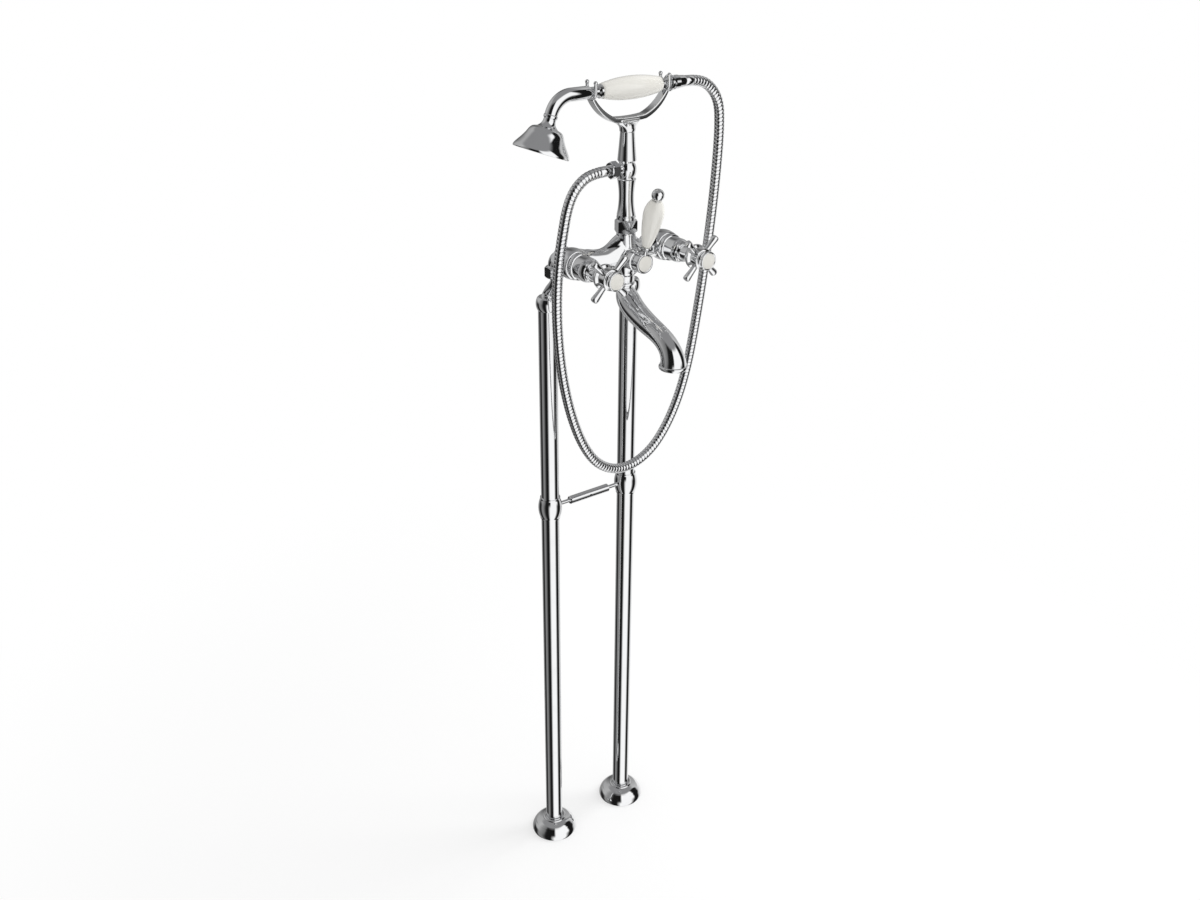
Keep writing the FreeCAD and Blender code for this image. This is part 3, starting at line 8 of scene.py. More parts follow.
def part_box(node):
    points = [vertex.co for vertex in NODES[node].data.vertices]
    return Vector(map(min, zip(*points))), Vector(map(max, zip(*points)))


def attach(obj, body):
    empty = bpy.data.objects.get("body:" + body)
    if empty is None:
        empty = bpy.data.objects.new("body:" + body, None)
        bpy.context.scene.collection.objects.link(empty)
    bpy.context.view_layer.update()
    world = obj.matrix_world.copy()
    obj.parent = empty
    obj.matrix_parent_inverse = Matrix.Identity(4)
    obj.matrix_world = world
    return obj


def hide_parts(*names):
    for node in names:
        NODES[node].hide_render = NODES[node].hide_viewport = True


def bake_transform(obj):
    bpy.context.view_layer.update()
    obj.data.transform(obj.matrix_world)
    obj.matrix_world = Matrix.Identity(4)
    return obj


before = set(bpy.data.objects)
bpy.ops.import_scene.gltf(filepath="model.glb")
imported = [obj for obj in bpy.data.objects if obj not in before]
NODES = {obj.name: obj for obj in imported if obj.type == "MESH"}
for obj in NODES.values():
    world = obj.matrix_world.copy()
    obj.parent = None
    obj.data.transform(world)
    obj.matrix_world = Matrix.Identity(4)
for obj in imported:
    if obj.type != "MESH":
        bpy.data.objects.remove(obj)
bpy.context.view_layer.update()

bl_info = {
    "name": "Bath filler finishes",
    "version": (1, 0, 0),
    "blender": (4, 5, 0),
    "location": "View3D > Sidebar > Bath Filler",
    "description": "Dresses a floor standing bath filler in polished chrome and glazed ceramic",
    "category": "Object",
}

MM = 0.001
WELD = 0.000005               # corners of a solid nearer than this, in metres, become one
SEAM = 0.000001               # the same for a new piece
SIDES = (("left", -1), ("right", 1))
SENSOR_WIDTH = 36.0
FAR_CLIP = 60.0

# Places of the solids, in millimetres
PIPE_X = 70.0                 # standpipes, either side of the middle
VALVE_X = 75.0                # valves, either side of the middle
VALVE_LEVEL = 1005.0
VALVE_FACE = -79.0            # front of a valve's bulb
HANDLE_PLANE = -146.0         # middle of the cross handles' arms
DIVERTER_FACE = -98.0         # front of the diverter's boss
COLUMN_PLANE = -81.0          # column, cradle and hand shower
HANDSET_LEVEL = 1221.0
ROSE_BASE = (-116.03, COLUMN_PLANE, 1200.32)     # where the rose meets its arm
ROSE_AXIS = (-0.3420, 0.0, -0.9397)
DISC_RADIUS = 10.2            # what a chrome ring leaves open of an index disc
BEZEL_RISE = 0.9              # how deep a chrome ring's foot lies under its level
COLUMN_Y = COLUMN_PLANE * MM  # the same plane in metres

# The hose hangs in one plane, Y = COLUMN_Y: (X, Z) from the handset's nut to the column's port
HOSE_ROUTE = (
    (0.0900, 1.2210), (0.1155, 1.2210), (0.1380, 1.2090), (0.1523, 1.1879), (0.1550, 1.1590),
    (0.1546, 1.1270), (0.1528, 1.0920), (0.1500, 1.0550), (0.1450, 1.0080), (0.1385, 0.9580),
    (0.1310, 0.9080), (0.1240, 0.8660), (0.1160, 0.8260), (0.1030, 0.7830), (0.0830, 0.7420),
    (0.0560, 0.7090), (0.0220, 0.6920), (-0.0140, 0.6930), (-0.0460, 0.7130), (-0.0690, 0.7470),
    (-0.0860, 0.7890), (-0.0980, 0.8340), (-0.1060, 0.8810), (-0.1100, 0.9280),
    (-0.1105, 0.9730), (-0.1070, 1.0150), (-0.1005, 1.0510), (-0.0923, 1.0872),
    (-0.0786, 1.1088), (-0.0565, 1.1215), (-0.0310, 1.1215),
)

# What the chrome mirrors: (degrees about Z from +X, brightness) low down and higher up
LOW_PANELS = (
    (-180, 0.10), (-168, 0.01), (-143, 0.01), (-135, 0.45), (-124, 1.1), (-70, 1.1),
    (-60, 0.35), (-51, 0.01), (-22, 0.01), (-10, 0.75), (20, 1.0), (58, 0.75),
    (72, 0.34), (104, 0.26), (116, 0.02), (140, 0.02), (152, 0.27), (170, 0.22),
    (180, 0.10),
)
HIGH_PANELS = (
    (-180, 0.18), (-171, 0.03), (-163, 0.01), (-125, 0.01), (-117, 1.1), (-51, 1.1),
    (-44, 0.01), (-14, 0.01), (-6, 0.60), (40, 0.34), (70, 0.10), (92, 0.42),
    (140, 0.50), (160, 0.30), (180, 0.18),
)
LOW_TO_HIGH = (-0.22, 0.12)       # heights between which the low panels give way
HIGH_TO_ROOF = (0.66, 0.84)       # heights between which the roof takes over
ROOF = (0.27, 0.27, 0.275)


# ---------------------------------------------------------------- sizes and colours

class StudioSizes(bpy.types.PropertyGroup):
    """The view and the light round the bath filler."""
    azimuth: bpy.props.FloatProperty(
        name="Azimuth", description="Camera's angle round the object",
        default=math.radians(-36.7), unit="ROTATION")
    elevation: bpy.props.FloatProperty(
        name="Elevation", description="Camera's angle above the horizon",
        default=math.radians(26.0), unit="ROTATION")
    roll: bpy.props.FloatProperty(
        name="Roll", description="Camera's turn about its own axis",
        default=math.radians(0.4), unit="ROTATION")
    distance: bpy.props.FloatProperty(
        name="Distance", description="Camera's distance from what it looks at",
        default=1.8194, unit="LENGTH")
    target: bpy.props.FloatVectorProperty(
        name="Target", description="Point in the middle of the view",
        default=(0.0207, 0.0, 0.6828), subtype="XYZ_LENGTH")
    lens: bpy.props.FloatProperty(
        name="Focal length", description="Focal length on a 36 mm wide sensor",
        default=36.6, unit="CAMERA")
    floor_color: bpy.props.FloatVectorProperty(
        name="Floor", description="Colour of the plain floor", subtype="COLOR",
        default=(0.99, 0.99, 0.99))
    floor_size: bpy.props.FloatProperty(
        name="Floor size", description="Side of the square floor", default=30.0, unit="LENGTH")
    sky_level: bpy.props.FloatProperty(
        name="Sky level", description="Strength of the even light from all round", default=0.74)
    key_level: bpy.props.FloatProperty(
        name="Key level", description="Power of the soft lamp on the right", default=42.0,
        unit="POWER")
    key_size: bpy.props.FloatProperty(
        name="Key size", description="Side of the soft square lamp", default=1.6,
        unit="LENGTH")
    key_place: bpy.props.FloatVectorProperty(
        name="Key place", description="Where the soft lamp hangs", default=(2.1, -0.5, 2.3),
        subtype="XYZ_LENGTH")
    key_aim: bpy.props.FloatVectorProperty(
        name="Key aim", description="Point that the soft lamp faces", default=(0.0, 0.0, 0.6),
        subtype="XYZ_LENGTH")


class ChromeLook(bpy.types.PropertyGroup):
    """Polished chrome plating."""
    color: bpy.props.FloatVectorProperty(
        name="Plating", description="Colour of the chrome plating", subtype="COLOR",
        default=(0.86, 0.865, 0.872))
    shade: bpy.props.FloatVectorProperty(
        name="Shade", description="Colour of the slightly duller patches", subtype="COLOR",
        default=(0.80, 0.803, 0.812))
    roughness: bpy.props.FloatProperty(
        name="Roughness", description="Roughness of the clean plating", default=0.035,
        min=0.0, max=1.0)
    smudge: bpy.props.FloatProperty(
        name="Smudges", description="Extra roughness where it has been touched and wiped",
        default=0.05, min=0.0, max=1.0)


class CeramicLook(bpy.types.PropertyGroup):
    """Glazed ceramic of the grips and the index discs."""
    color: bpy.props.FloatVectorProperty(
        name="Glaze", description="Colour of the glaze", subtype="COLOR",
        default=(0.875, 0.86, 0.81))
    pool: bpy.props.FloatVectorProperty(
        name="Pooled glaze", description="Colour where the glaze lies thicker",
        subtype="COLOR", default=(0.82, 0.80, 0.735))
    roughness: bpy.props.FloatProperty(
        name="Roughness", description="Roughness of the glaze", default=0.16,
        min=0.0, max=1.0)


class HoseSizes(bpy.types.PropertyGroup):
    """The ribbed metal hose."""
    diameter: bpy.props.FloatProperty(
        name="Diameter", description="Outer diameter over the ribs", default=0.014,
        unit="LENGTH")
    groove: bpy.props.FloatProperty(
        name="Groove", description="Depth of the groove between two ribs", default=0.00045,
        unit="LENGTH")
    ribs: bpy.props.IntProperty(
        name="Ribs", description="Ribs along the hose", default=222)
    sleeve: bpy.props.FloatProperty(
        name="Sleeve", description="Length of the smooth sleeve at each end", default=0.013,
        unit="LENGTH")
    sides: bpy.props.IntProperty(
        name="Sides", description="Corners of one ring of the hose", default=22)
    length: bpy.props.FloatProperty(
        name="Length", description="Length from the handset to the column", default=1.14,
        unit="LENGTH")


class EdgeSizes(bpy.types.PropertyGroup):
    """How the edges of the pieces are shaded."""
    smooth_angle: bpy.props.FloatProperty(
        name="Smooth angle", description="Edges sharper than this stay crisp",
        default=math.radians(32.0), unit="ROTATION")


# ---------------------------------------------------------------- node trees

class Signal:
    """One output of a node tree, with sums written as sums."""

    def __init__(self, tree, socket):
        self.tree = tree
        self.socket = socket

    def __add__(self, other):
        return self.tree.math("ADD", self, other)

    def __radd__(self, other):
        return self.tree.math("ADD", other, self)

    def __sub__(self, other):
        return self.tree.math("SUBTRACT", self, other)

    def __mul__(self, other):
        return self.tree.math("MULTIPLY", self, other)

    def __rmul__(self, other):
        return self.tree.math("MULTIPLY", other, self)

    def clamped(self):
        """Kept between nought and one."""
        return self.tree.node("ShaderNodeClamp", {}, {"Value": self})

    def between(self, low, high):
        """Nought below low, one above high, smooth between."""
        return self.tree.node(
            "ShaderNodeMapRange", {"interpolation_type": "SMOOTHSTEP"},
            {"Value": self, "From Min": low, "From Max": high}, "Result")


class Tree:
    """A node tree, whose nodes all come from one method."""

    def __init__(self, node_tree):
        self.node_tree = node_tree
        node_tree.nodes.clear()

    def node(self, kind, settings, values, output=0):
        """Adds a node: first its settings, then the values or links of its sockets."""
        node = self.node_tree.nodes.new(kind)
        for name, value in settings.items():
            if name == "stops":
                self.set_stops(node.color_ramp.elements, value)
            else:
                setattr(node, name, value)
        for name, value in values.items():
            socket = node.inputs[name]
            if isinstance(value, Signal):
                self.node_tree.links.new(value.socket, socket)
            elif hasattr(value, "__len__"):
                opaque = tuple(value) + (1.0,)
                socket.default_value = opaque[:len(socket.default_value)]
            else:
                socket.default_value = value
        return Signal(self, node.outputs[output]) if len(node.outputs) else None

    def set_stops(self, stops, wanted):
        """Gives a ramp its stops of (position, colour)."""
        while len(stops) < len(wanted):
            stops.new(0.5)
        for stop, (position, color) in zip(stops, wanted):
            stop.position = position
            stop.color = tuple(color) + (1.0,)

    def math(self, operation, *values):
        """A sum on one or two values."""
        return self.node("ShaderNodeMath", {"operation": operation}, dict(enumerate(values)))

    def surface(self, sockets):
        """Joins a Principled shader to the material's output."""
        shader = self.node("ShaderNodeBsdfPrincipled", {}, sockets, "BSDF")
        self.node("ShaderNodeOutputMaterial", {}, {"Surface": shader})


def new_material(name):
    """A material with an empty tree."""
    material = bpy.data.materials.new(name)
    material.use_nodes = True
    return material, Tree(material.node_tree)


def object_point(tree):
    """Object coordinates, in metres."""
    return tree.node("ShaderNodeTexCoord", {}, {}, "Object")


def stretched(point, scale):
    """Coordinates scaled along each axis."""
    return point.tree.node("ShaderNodeMapping", {}, {"Vector": point, "Scale": scale}, "Vector")


def noise(point, scale, detail=2.0, roughness=0.5, distortion=0.0):
    """Soft noise between nought and one; scale is features per metre."""
    return point.tree.node("ShaderNodeTexNoise", {}, {
        "Vector": point, "Scale": scale, "Detail": detail, "Roughness": roughness,
        "Distortion": distortion}, "Fac")


def distance_from(point, centre):
    """How far a point is from a centre."""
    return point.tree.node(
        "ShaderNodeVectorMath", {"operation": "DISTANCE"}, {0: point, 1: centre}, "Value")


def mixed(factor, first, second):
    """A colour between two."""
    return factor.tree.node("ShaderNodeMix", {"data_type": "RGBA"}, {
        "Factor": factor, "A": first, "B": second}, "Result")


def bumped(height, distance, strength):
    """A normal that follows a height."""
    return height.tree.node("ShaderNodeBump", {}, {
        "Height": height, "Distance": distance, "Strength": strength}, "Normal")


def chrome(name, peel, grain=None):
    """Polished chrome: wiped smudges, faint dust in the plating and the marks of its making.

    peel is how wavy the plating is, and grain how fine its marks are along X, Y and Z."""
    look = bpy.context.scene.bath_chrome
    material, tree = new_material(name)
    point = object_point(tree)
    smudges = noise(point, 38.0, detail=4.0, roughness=0.6, distortion=0.6).between(0.46, 0.78)
    cloud = noise(point, 9.0)
    specks = noise(point, 900.0, detail=1.0).between(0.66, 0.80)
    height = noise(point, 120.0) * peel + specks * 0.05
    if grain is not None:
        height = height + noise(stretched(point, grain), 1.0, detail=3.0) * 0.35
    tree.surface({
        "Base Color": mixed((cloud * 0.5 + smudges * 0.5).clamped(), look.color, look.shade),
        "Roughness": (smudges * look.smudge + specks * 0.03 + look.roughness).clamped(),
        "Metallic": 1.0,
        "Normal": bumped(height, 0.00004, 0.5)})
    return material


def hose_chrome(name):
    """Chrome strip wound into a hose: bright ribs, with painted shade darkening the grooves
    between them.
    """
    look = bpy.context.scene.bath_chrome
    material, tree = new_material(name)
    groove = tree.node("ShaderNodeAttribute", {"attribute_name": "groove"}, {}, "Fac")
    wear = noise(object_point(tree), 260.0, detail=3.0, roughness=0.6)
    # painted shade: the plating's colour is darkened in each groove and at the sleeves' ends,
    # and the roughness is raised there
    dark = groove.between(0.25, 0.9)
    painted_groove_shade = (0.30, 0.30, 0.31)
    tree.surface({
        "Base Color": mixed(dark, look.color, painted_groove_shade),
        "Roughness": (dark * 0.22 + wear * 0.08 + 0.05).clamped(),
        "Metallic": 1.0,
        "Normal": bumped(wear, 0.00005, 0.5)})
    return material


def glazed(name):
    """Glazed ceramic: a warm white body, a little pooled glaze and a soft orange peel."""
    look = bpy.context.scene.bath_ceramic
    material, tree = new_material(name)
    point = object_point(tree)
    cloud = noise(point, 34.0, detail=3.0, roughness=0.55).between(0.42, 0.72)
    pinholes = noise(point, 1400.0, detail=1.0).between(0.76, 0.84)
    uneven = noise(point, 70.0, detail=3.0)
    tree.surface({
        "Base Color": mixed(cloud * 0.5, look.color, look.pool),
        "Roughness": (uneven * 0.10 + pinholes * 0.2 + (look.roughness - 0.05)).clamped(),
        "Coat Weight": 0.6,
        "Coat Roughness": 0.04,
        "IOR": 1.52,
        "Normal": bumped(noise(point, 60.0, detail=1.0) - pinholes * 0.6, 0.00003, 0.4)})
    return material


def rose_plate(name, centre):
    """The rose's face: satin chrome turned on a lathe, with fine rings."""
    look = bpy.context.scene.bath_chrome
    material, tree = new_material(name)
    point = object_point(tree)
    fineness = 9000.0
    rings = tree.math("SINE", distance_from(point, centre) * fineness)
    stain = noise(point, 80.0, detail=4.0).between(0.45, 0.75)
    tree.surface({
        "Base Color": mixed(stain, look.color, look.shade),
        "Roughness": (rings * 0.04 + stain * 0.12 + 0.16).clamped(),
        "Metallic": 1.0,
        "Normal": bumped(rings, 0.00003, 0.5)})
    return material


def bare_metal(name, color, dark):
    """Turned steel or brass inside the valves and under the flanges."""
    material, tree = new_material(name)
    point = object_point(tree)
    grain = (30.0, 1800.0, 30.0)
    rings = noise(stretched(point, grain), 1.0, detail=3.0)
    tarnish = noise(point, 60.0, detail=4.0, roughness=0.6).between(0.4, 0.7)
    tree.surface({
        "Base Color": mixed(tarnish, color, dark),
        "Roughness": (rings * 0.15 + tarnish * 0.15 + 0.2).clamped(),
        "Metallic": 1.0,
        "Normal": bumped(rings, 0.00004, 0.6)})
    return material


# ---------------------------------------------------------------- finishing the solids

def smoothing_group():
    """Nodes that shade a mesh smooth but keep its sharp edges crisp."""
    group = bpy.data.node_groups.get("smooth_but_crisp")
    if group:
        return group
    group = bpy.data.node_groups.new("smooth_but_crisp", "GeometryNodeTree")
    for way in ("INPUT", "OUTPUT"):
        group.interface.new_socket("Geometry", in_out=way, socket_type="NodeSocketGeometry")
    tree = Tree(group)
    mesh = tree.node("NodeGroupInput", {}, {})
    smooth = tree.node("GeometryNodeSetShadeSmooth", {"domain": "FACE"}, {"Geometry": mesh})
    angle = tree.node("GeometryNodeInputMeshEdgeAngle", {}, {}, "Unsigned Angle")
    sharp = tree.math("GREATER_THAN", angle, bpy.context.scene.bath_edges.smooth_angle)
    crisp = tree.node("GeometryNodeSetShadeSmooth", {"domain": "EDGE"}, {
        "Geometry": smooth, "Selection": sharp, "Shade Smooth": False})
    tree.node("NodeGroupOutput", {}, {0: crisp})
    return group


def crisp_edges(piece):
    """Lets a piece shade smooth but for its sharp edges."""
    piece.modifiers.new("crisp", "NODES").node_group = smoothing_group()


def finish_node(name, material):
    """Gives a solid its material and even shading."""
    solid = NODES[name]
    solid.data.materials.clear()
    solid.data.materials.append(material)
    solid.modifiers.new("weld", "WELD").merge_threshold = WELD
    crisp_edges(solid)


def finish_nodes(names, material):
    """Finishes a group of solids alike."""
    for name in names:
        finish_node(name, material)


def both(*names):
    """The left and the right node of each name."""
    return [name + side for name in names for side in ("_left", "_right")]


def new_piece(name, bm, material, body):
    """Makes an object of a bmesh, with its place in its mesh."""
    mesh = bpy.data.meshes.new(name)
    bm.to_mesh(mesh)
    bm.free()
    mesh.shade_smooth()
    piece = bpy.data.objects.new(name, mesh)
    bpy.context.scene.collection.objects.link(piece)
    mesh.materials.append(material)
    if body:
        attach(piece, body)
    return piece


def curved(points, steps=6):
    """Points of a smooth line through a few points of an outline."""
    line = []
    for i in range(len(points) - 1):
        before, here, after, beyond = (
            Vector(points[min(max(j, 0), len(points) - 1)]) for j in (i - 1, i, i + 1, i + 2))
        for step in range(steps):
            t = step / steps
            line.append(0.5 * (2 * here + (after - before) * t
                               + (2 * before - 5 * here + 4 * after - beyond) * t ** 2
                               + (3 * here - before - 3 * after + beyond) * t ** 3))
    return line + [Vector(points[-1])]


def lathe(bm, outline, base, heading, steps=96):
    """Spins an outline of (radius, distance along the axis), in millimetres."""
    heading = Vector(heading).normalized()
    side = heading.orthogonal().normalized()
    base = Vector(base) * MM
    corners = [bm.verts.new(base + (side * r + heading * h) * MM) for r, h in outline]
    edges = [bm.edges.new(pair) for pair in zip(corners, corners[1:])]
    bmesh.ops.spin(bm, geom=corners + edges, cent=base, axis=heading, angle=math.tau,
                   steps=steps, use_merge=True)
    bmesh.ops.remove_doubles(bm, verts=bm.verts, dist=SEAM)
    bmesh.ops.recalc_face_normals(bm, faces=bm.faces)


def sweep(bm, stations, side, sides, layer=None):
    """Pulls a ring through stations of (centre, heading, radius or two radii, mark)."""
    side = Vector(side)
    ring = bmesh.ops.create_circle(bm, segments=sides, radius=1.0)["verts"]
    edges = list({edge for vertex in ring for edge in vertex.link_edges})
    first_ring = list(ring)
    pose = Matrix.Identity(4)
    for number, (centre, heading, radius, mark) in enumerate(stations):
        wide, high = radius if hasattr(radius, "__len__") else (radius, radius)
        across = side.cross(heading).normalized()
        wanted = (Matrix.Translation(centre)
                  @ Matrix((side, across, side.cross(across))).transposed().to_4x4()
                  @ Matrix.Diagonal((wide, high, 1.0, 1.0)))
        if number:
            made = bmesh.ops.extrude_edge_only(bm, edges=edges)["geom"]
            ring = [g for g in made if isinstance(g, bmesh.types.BMVert)]
            members = set(ring)
            edges = [g for g in made if isinstance(g, bmesh.types.BMEdge)
                     and all(v in members for v in g.verts)]
        bmesh.ops.transform(bm, matrix=wanted @ pose.inverted(), verts=ring)
        pose = wanted
        if layer is not None:
            for vertex in ring:
                vertex[layer] = mark
    bmesh.ops.contextual_create(bm, geom=first_ring)
    bmesh.ops.contextual_create(bm, geom=ring)
    bmesh.ops.recalc_face_normals(bm, faces=bm.faces)


def turned_piece(name, outline, base, heading, material, body, *nodes, steps=96):
    """A piece turned on a lathe, in the place of a solid or beside it."""
    bm = bmesh.new()
    lathe(bm, outline, base, heading, steps)
    piece = new_piece(name, bm, material, body)
    crisp_edges(piece)
    if nodes:
        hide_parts(*nodes)


def bezel(radius, level):
    """Outline of the rounded ring that holds an index disc."""
    foot = level - BEZEL_RISE
    ring = curved(((radius, level - 0.3), (radius - 0.3, level + 0.7),
                   (radius - 1.2, level + 1.3), (DISC_RADIUS + 0.7, level + 1.2),
                   (DISC_RADIUS, level + 0.6)), 4)
    return [(radius, foot)] + ring + [(DISC_RADIUS, foot), (radius, foot)]


def recast(name, node, add, material, body, voxel, rounds):
    """Melts a copy of a solid and what is added to it into one casting with soft fillets."""
    bm = bmesh.new()
    bm.from_mesh(NODES[node].data)
    bmesh.ops.remove_doubles(bm, verts=bm.verts, dist=WELD)
    add(bm)
    piece = new_piece(name, bm, material, body)
    melt = piece.modifiers.new("melt", "REMESH")
    melt.mode = "VOXEL"
    melt.voxel_size = voxel
    melt.use_smooth_shade = True
    soften = piece.modifiers.new("soften", "SMOOTH")
    soften.factor = 0.5
    soften.iterations = rounds
    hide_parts(node)


# ---------------------------------------------------------------- the stage

class BATH_OT_stage(bpy.types.Operator):
    """Sets the floor, the light and the camera"""
    bl_idname = "bath.stage"
    bl_label = "Stage"

    def execute(self, context):
        sizes = context.scene.bath_studio
        self.floor(context, sizes)
        self.world(context, sizes)
        self.lamp(context, sizes)
        self.camera(context, sizes)
        context.scene.view_settings.view_transform = "Standard"
        return {"FINISHED"}

    def floor(self, context, sizes):
        """A plain pale floor: white where it is lit, darker only in the object's shadow."""
        bm = bmesh.new()
        bmesh.ops.create_grid(bm, x_segments=1, y_segments=1, size=sizes.floor_size / 2)
        mesh = bpy.data.meshes.new("floor")
        bm.to_mesh(mesh)
        bm.free()
        floor = bpy.data.objects.new("floor", mesh)
        context.scene.collection.objects.link(floor)
        floor.visible_glossy = False
        material, tree = new_material("pale_floor")
        matt = tree.node("ShaderNodeBsdfDiffuse", {}, {"Color": sizes.floor_color})
        white = tree.node("ShaderNodeEmission", {}, {"Strength": 1.0})
        camera, glossy, through = (
            tree.node("ShaderNodeLightPath", {}, {}, kind)
            for kind in ("Is Camera Ray", "Is Glossy Ray", "Is Transmission Ray"))
        seen = tree.math("MAXIMUM", tree.math("MAXIMUM", camera, glossy), through)
        # half of the white gives way to the shadow near the object, and none of it far off
        near, far = 0.30, 1.30
        away = distance_from(object_point(tree), (0.0, 0.0, 0.0))
        share = seen * (0.5 + 0.5 * away.between(near, far))
        shader = tree.node("ShaderNodeMixShader", {}, {0: share, 1: matt, 2: white})
        tree.node("ShaderNodeOutputMaterial", {}, {"Surface": shader})
        mesh.materials.append(material)

    def world(self, context, sizes):
        """White where the camera sees it, even light on the object, and a studio of white
        panels and dark gaps for the chrome to mirror."""
        world = bpy.data.worlds.new("studio")
        context.scene.world = world
        world.use_nodes = True
        tree = Tree(world.node_tree)
        direction = tree.node("ShaderNodeTexCoord", {}, {}, "Generated")
        x, y, z = (tree.node("ShaderNodeSeparateXYZ", {}, {"Vector": direction}, axis)
                   for axis in "XYZ")
        turn = tree.math("ARCTAN2", y, x) * (1 / math.tau) + 0.5
        low, high = (self.panels(turn, bands) for bands in (LOW_PANELS, HIGH_PANELS))
        sides = mixed(z.between(*LOW_TO_HIGH), low, high)
        mirrored = mixed(z.between(*HIGH_TO_ROOF), sides, ROOF)
        camera, glossy = (tree.node("ShaderNodeLightPath", {}, {}, kind)
                          for kind in ("Is Camera Ray", "Is Glossy Ray"))
        light = mixed(glossy, (sizes.sky_level,) * 3, mirrored)
        background = tree.node("ShaderNodeBackground", {}, {
            "Color": mixed(camera, light, (1.0, 1.0, 1.0))})
        tree.node("ShaderNodeOutputWorld", {}, {"Surface": background})

    def panels(self, turn, bands):
        """White and black panels round the object, at a turn from nought to one."""
        stops = [((angle + 180) / 360, (level,) * 3) for angle, level in bands]
        return turn.tree.node("ShaderNodeValToRGB", {"stops": stops}, {"Fac": turn}, "Color")

    def lamp(self, context, sizes):
        """A large soft lamp high on the right."""
        data = bpy.data.lights.new("soft_key", "AREA")
        data.shape = "RECTANGLE"
        data.size = sizes.key_size
        data.size_y = sizes.key_size
        data.energy = sizes.key_level
        key = bpy.data.objects.new("soft_key", data)
        key.visible_glossy = False
        key.location = sizes.key_place
        facing = Vector(sizes.key_aim) - key.location
        key.rotation_euler = facing.to_track_quat("-Z", "Y").to_euler()
        context.scene.collection.objects.link(key)

    def camera(self, context, sizes):
        """The photograph's viewpoint."""
        azimuth, elevation, roll = sizes.azimuth, sizes.elevation, sizes.roll
        back = Vector((math.sin(azimuth) * math.cos(elevation),
                       -math.cos(azimuth) * math.cos(elevation), math.sin(elevation)))
        right = Vector((math.cos(azimuth), math.sin(azimuth), 0.0))
        up = back.cross(right)
        across = right * math.cos(roll) + up * math.sin(roll)
        upright = up * math.cos(roll) - right * math.sin(roll)
        data = bpy.data.cameras.new("camera")
        data.sensor_width = SENSOR_WIDTH
        data.lens = sizes.lens
        data.clip_end = FAR_CLIP
        camera = bpy.data.objects.new("camera", data)
        turn = Matrix((across, upright, back)).transposed().to_4x4()
        camera.matrix_world = Matrix.Translation(
            Vector(sizes.target) + back * sizes.distance) @ turn
        context.scene.collection.objects.link(camera)
        context.scene.camera = camera


# ---------------------------------------------------------------- the pieces

class BATH_OT_hose(bpy.types.Operator):
    """Winds the ribbed metal hose along its route"""
    bl_idname = "bath.hose"
    bl_label = "Shower hose"

    def execute(self, context):
        sizes = context.scene.bath_hose
        line = self.centreline()
        bm = bmesh.new()
        groove = bm.verts.layers.float.new("groove")
        self.wind(bm, groove, line, sizes)
        hose = new_piece("ribbed_hose", bm, hose_chrome("hose_chrome"), None)
        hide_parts("shower_hose")
        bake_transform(hose)
        return {"FINISHED"}

    def centreline(self):
        """Points of the smooth spline through the route."""
        curve = bpy.data.curves.new("hose_route", "CURVE")
        curve.dimensions = "3D"
        curve.resolution_u = 24
        spline = curve.splines.new("NURBS")
        spline.points.add(len(HOSE_ROUTE) - 1)
        for point, (x, z) in zip(spline.points, HOSE_ROUTE):
            point.co = (x, COLUMN_Y, z, 1.0)
        spline.order_u = 3
        spline.use_endpoint_u = True
        guide = bpy.data.objects.new("hose_route", curve)
        bpy.context.scene.collection.objects.link(guide)
        bpy.context.view_layer.update()
        mesh = bpy.data.meshes.new_from_object(guide)
        line = [v.co.copy() for v in mesh.vertices]
        bpy.data.meshes.remove(mesh)
        bpy.data.objects.remove(guide)
        bpy.data.curves.remove(curve)
        return line

    def wind(self, bm, groove, line, sizes):
        """Pulls a ring along the line, wider on each rib and narrower in each groove."""
        lengths = [0.0]
        for a, b in zip(line, line[1:]):
            lengths.append(lengths[-1] + (b - a).length)
        total = lengths[-1]

        def station(distance):
            """Place and heading at a distance along the line."""
            i = 0
            while i < len(lengths) - 2 and lengths[i + 1] < distance:
                i += 1
            share = (distance - lengths[i]) / (lengths[i + 1] - lengths[i])
            here = line[i].lerp(line[i + 1], share)
            before = (line[i + 1] - line[i]).normalized()
            j = min(max(i + (1 if share > 0.5 else -1), 0), len(line) - 2)
            beside = (line[j + 1] - line[j]).normalized()
            return here, before.lerp(beside, abs(share - 0.5)).normalized()

        crest = sizes.diameter / 2
        valley = crest - sizes.groove
        worn = crest - 0.0005
        lip = 0.0006
        pitch = (total - 2 * sizes.sleeve) / sizes.ribs
        # distance along the hose, radius, how much painted shade darkens the plating there
        marks = [(0.0, worn, 0.4), (lip, crest, 0.0), (sizes.sleeve - lip, crest, 0.0)]
        flank = valley + sizes.groove * 0.55
        shoulder = crest - sizes.groove * 0.12
        profile = ((0.0, valley, 1.0), (0.16, flank, 0.3), (0.32, shoulder, 0.0),
                   (0.5, crest, 0.0), (0.68, shoulder, 0.0), (0.84, flank, 0.3))
        for rib in range(sizes.ribs):
            for share, radius, depth in profile:
                marks.append((sizes.sleeve + (rib + share) * pitch, radius, depth))
        sleeve_start = total - sizes.sleeve
        marks += [(sleeve_start, valley, 1.0), (sleeve_start + lip, crest, 0.0),
                  (total - lip, crest, 0.0), (total, worn, 0.4)]

        stations = [station(distance) + (radius, depth) for distance, radius, depth in marks]
        sweep(bm, stations, (0, 1, 0), sizes.sides, groove)


